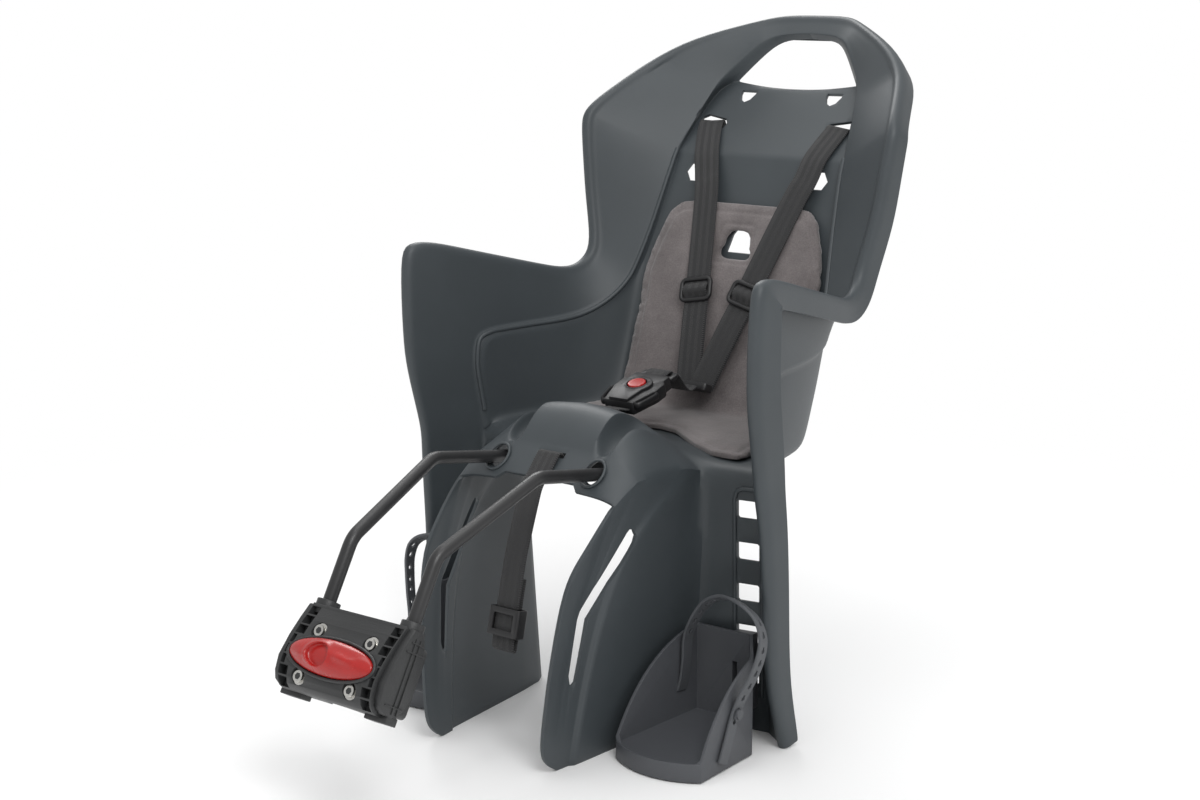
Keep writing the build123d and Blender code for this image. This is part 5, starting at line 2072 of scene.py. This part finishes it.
    def height(self, u: float, v: float) -> float:
        """Height of the red oval over its rim.

        Args:
            u: share of the half width.
            v: share of the half height.

        Returns:
            The height, millimetres.
        """
        r = min(math.hypot(u, v), 1.0)
        dome = self.rise * (1 - r ** 2.2) ** 0.8
        x, y = u * self.oval[0], v * self.oval[1]
        dx, dy, radius = self.dish
        inside = 1 - math.hypot((x - dx) / radius, (y - dy) / (radius * 0.8))
        lip = 0.9 * math.exp(-(inside / 0.2) ** 2)
        ridge = 0.0
        for across, up, wide, tall, rise, slope in self.ridges:
            off = x - across
            ridge += rise * math.exp(-(off / wide) ** 2 - ((y - up + off * slope) / tall) ** 2)
        return dome + ridge + lip - self.dish_depth * smoothstep(inside * 6.0)

    def button(self) -> None:
        """Red oval with its thumb dish, and the black rim round it."""
        spot = self.block_frame()
        rings, spokes, base, bottom = 56, 160, 2.4, -6.2
        round_it = circle(1, spokes)
        wide, tall = self.oval
        points = [in_plane(spot, 0, 0, self.height(0, 0) + base)]
        for k in range(1, rings + 1):
            share = (k / rings) ** 0.8
            for u, v in round_it:
                z = self.height(share * u, share * v) + base
                points.append(in_plane(spot, share * u * wide, share * v * tall, z))
        points += [in_plane(spot, u * wide, v * tall, bottom) for u, v in round_it]
        faces = [(0, 1 + i, 1 + (i + 1) % spokes) for i in range(spokes)]
        for k in range(rings):
            for i in range(spokes):
                j = (i + 1) % spokes
                a, b = 1 + k * spokes, 1 + (k + 1) * spokes
                faces.append((a + i, b + i, b + j, a + j))
        faces.append(tuple(range(1 + rings * spokes, 1 + (rings + 1) * spokes))[::-1])
        mesh = mesh_from("release_oval", points, faces)
        shade_by_angle(mesh, 60)
        place(new_object("release_oval", mesh), RED, body_of_node("release_button"), "release_button")
        edge = [((wide + self.rim_gap) * u, (tall + self.rim_gap) * v) for u, v in circle(1, 96)]
        loop = [in_plane(spot, x, y, self.bow_at(y) + self.rim_lift) for x, y in edge]
        rim = tube("oval_rim", loop, spot.to_3x3() @ Vector((0, 0, 1)), *self.rim_bar, closed=True)
        place(rim, BLOCK, body_of_node("block_front"))


@dataclass
class SafetyBelt:
    """Webbing out of the hump's apron, round its slide and back up."""

    width: float = 25.0
    thick: float = 1.8
    run: Sequence[Flat] = (
        (97.5, 257.8), (93, 265), (88.5, 267), (84, 263.5), (72, 250.5), (62, 241), (56, 228), (46, 202),
        (37, 177), (23, 123), (18.6, 101), (19.4, 96.8), (22.6, 97), (28, 123), (37.5, 160))

    def build(self) -> float:
        """Makes the strap and its slide.

        Returns:
            The strap's length, millimetres.
        """
        points = [at(0, y, z) for y, z in self.run]
        looks = [Vector((1, 0, 0)).cross(way).normalized() for way in ways_along(points)]
        strap = Ribbon(points, looks, self.width, self.thick, 7)
        place(strap.piece("safety_web"), BELT, "seat", "safety_strap")
        rounded("safety_slide", TRIM, 1.0)
        return strap.length()


@dataclass
class FootRest:
    """Tray with its rubber strap over the foot."""

    side: int
    name: str
    width: float = 13.0
    thick: float = 2.6
    pitch: float = 12.0
    run: Sequence[Point] = (
        (192.7, 89, 10.5), (192.7, 98, 29), (193, 108, 50), (197, 113, 66), (204, 118.5, 84),
        (209, 123, 103), (210, 125, 121), (203, 125.5, 137), (186, 129, 145.5), (157, 144, 144),
        (134, 150, 133), (120, 150, 114), (112, 151, 95), (110, 152, 75), (108, 152, 56), (105, 151, 42))
    # strap's flat way across, its keyholes' outline, and where along it they start and stop short of its end
    flat: Point = (0, -0.9, 0.436)
    keyhole: Sequence[Flat] = (
        (-1.2, -3.6), (1.2, -3.6), (1.2, -1.6), (2.3, 0), (2.0, 1.8), (0, 2.8), (-2.0, 1.8), (-2.3, 0),
        (-1.2, -1.6))
    first_hole: float = 36.0
    bare_end: float = 60.0
    # slots in the tray's back: left, right, low and high
    heel_slots: Sequence[tuple[float, ...]] = ((146, 151, 46, 72), (157, 162, 51, 63))
    heel_y: float = 177.0
    peg_spot: Point = (197, 109, 52)
    peg_r: float = 5.0

    def build(self) -> float:
        """Makes the tray and the strap.

        Returns:
            The strap's length, millimetres.
        """
        node = f"foot_rest_{self.name}"
        tray = welded(node, f"{node}_look")
        back = plane_at(at(0, self.heel_y, 0), (0, -1, 0))
        slots = [(back, rectangle(self.side * left, self.side * right, low, high), 6)
                 for left, right, low, high in self.heel_slots]
        cut(tray, solid_of("heel_slots", slots))
        body = body_of_node(node)
        place(edged(tray, 1.1, segments=3), REST, body, node)
        return self.strap(body)

    def strap(self, body: str) -> float:
        """Rubber strap with its row of keyholes, and the peg that holds it.

        Args:
            body: the body that carries it.

        Returns:
            Its length, millimetres.
        """
        points = [at(x * self.side, y, z) for x, y, z in self.run]
        looks = [way.cross(Vector(self.flat)).normalized() * self.side for way in ways_along(points)]
        strap = Ribbon(points, looks, self.width, self.thick, 8)
        piece = strap.piece(f"foot_strap_{self.name}_look")
        ready, last = self.first_hole, strap.length() - self.bare_end
        holes: list[Prism] = []
        for spot, across, out, run in strap.frames():
            if ready <= run / MM < last:
                turn = Matrix((across, across.cross(out), out)).transposed().to_4x4()
                holes.append((Matrix.Translation(spot) @ turn, self.keyhole, 4))
                ready += self.pitch
        cut(piece, solid_of("keyholes", holes))
        shade_by_angle(piece.data, 45)
        place(piece, RUBBER, body, f"foot_strap_{self.name}")
        x, y, z = self.peg_spot
        sideways = Matrix(((0, 0, 1, 0), (1, 0, 0, 0), (0, 1, 0, 0), (0, 0, 0, 1)))
        head = [(Matrix.Translation(at(x * self.side, y, z)) @ sideways, circle(self.peg_r, 28), 1.9)]
        place(edged(solid_of(f"peg_head_{self.name}", head), 0.9, 40), REST, body)
        return strap.length()


def ladder_frame(shell: SeatShell, side: int, name: str) -> None:
    """Raised lip round the holes that a foot rest clicks into.

    Args:
        shell: the shell that it is moulded on.
        side: 1 for the child's left, -1 for the right.
        name: left or right.
    """
    spots = [(138, 34), (138, 120), (138, 224), (140, 231), (146, 234), (157, 234), (163, 231), (165, 224),
             (165, 120), (165, 34)]
    line = []
    for x, z in spots:
        inner, outer = shell.back_corner(z)
        share = (x * MM - inner.x) / (outer.x - inner.x)
        spot = lerp(inner, outer, share)
        line.append(Vector((side * x * MM, spot.y, z * MM)))
    place(tube(f"ladder_lip_{name}", line, Vector((0, -1, 0)), 2.2, 2.4), SHELL, "seat")


def dress_nodes() -> None:
    """Gives the CAD nodes that stay their finishes."""
    kinds = {f.slot.value: f for f in (SHELL, BLOCK, TRIM, REST, RUBBER, RED, RODS, STEEL, FELT, WEB)}
    slots = {s["node"]: s["material_slot"] for s in frame["record"]["subparts"]}
    for name, obj in frame["nodes"].items():
        obj.data.materials.clear()
        obj.data.materials.append(kinds[slots[name]].material())


def main() -> None:
    """Builds the stage, then each sub-assembly in turn."""
    Studio().build()
    dress_nodes()
    shell = SeatShell()
    shell.build()
    Liner().build()
    harness = Harness()
    harness.build()
    Carrier().build()
    LOG.info("safety strap %.0f mm", SafetyBelt().build())
    for side, name in SIDES:
        ladder_frame(shell, side, name)
        LOG.info("foot strap %s %.0f mm", name, FootRest(side, name).build())
    for name, length in harness.lengths.items():
        LOG.info("%s strap %.0f mm", name, length)


if __name__ == "__main__":
    logging.basicConfig(level=logging.INFO, format="%(message)s")
    main()
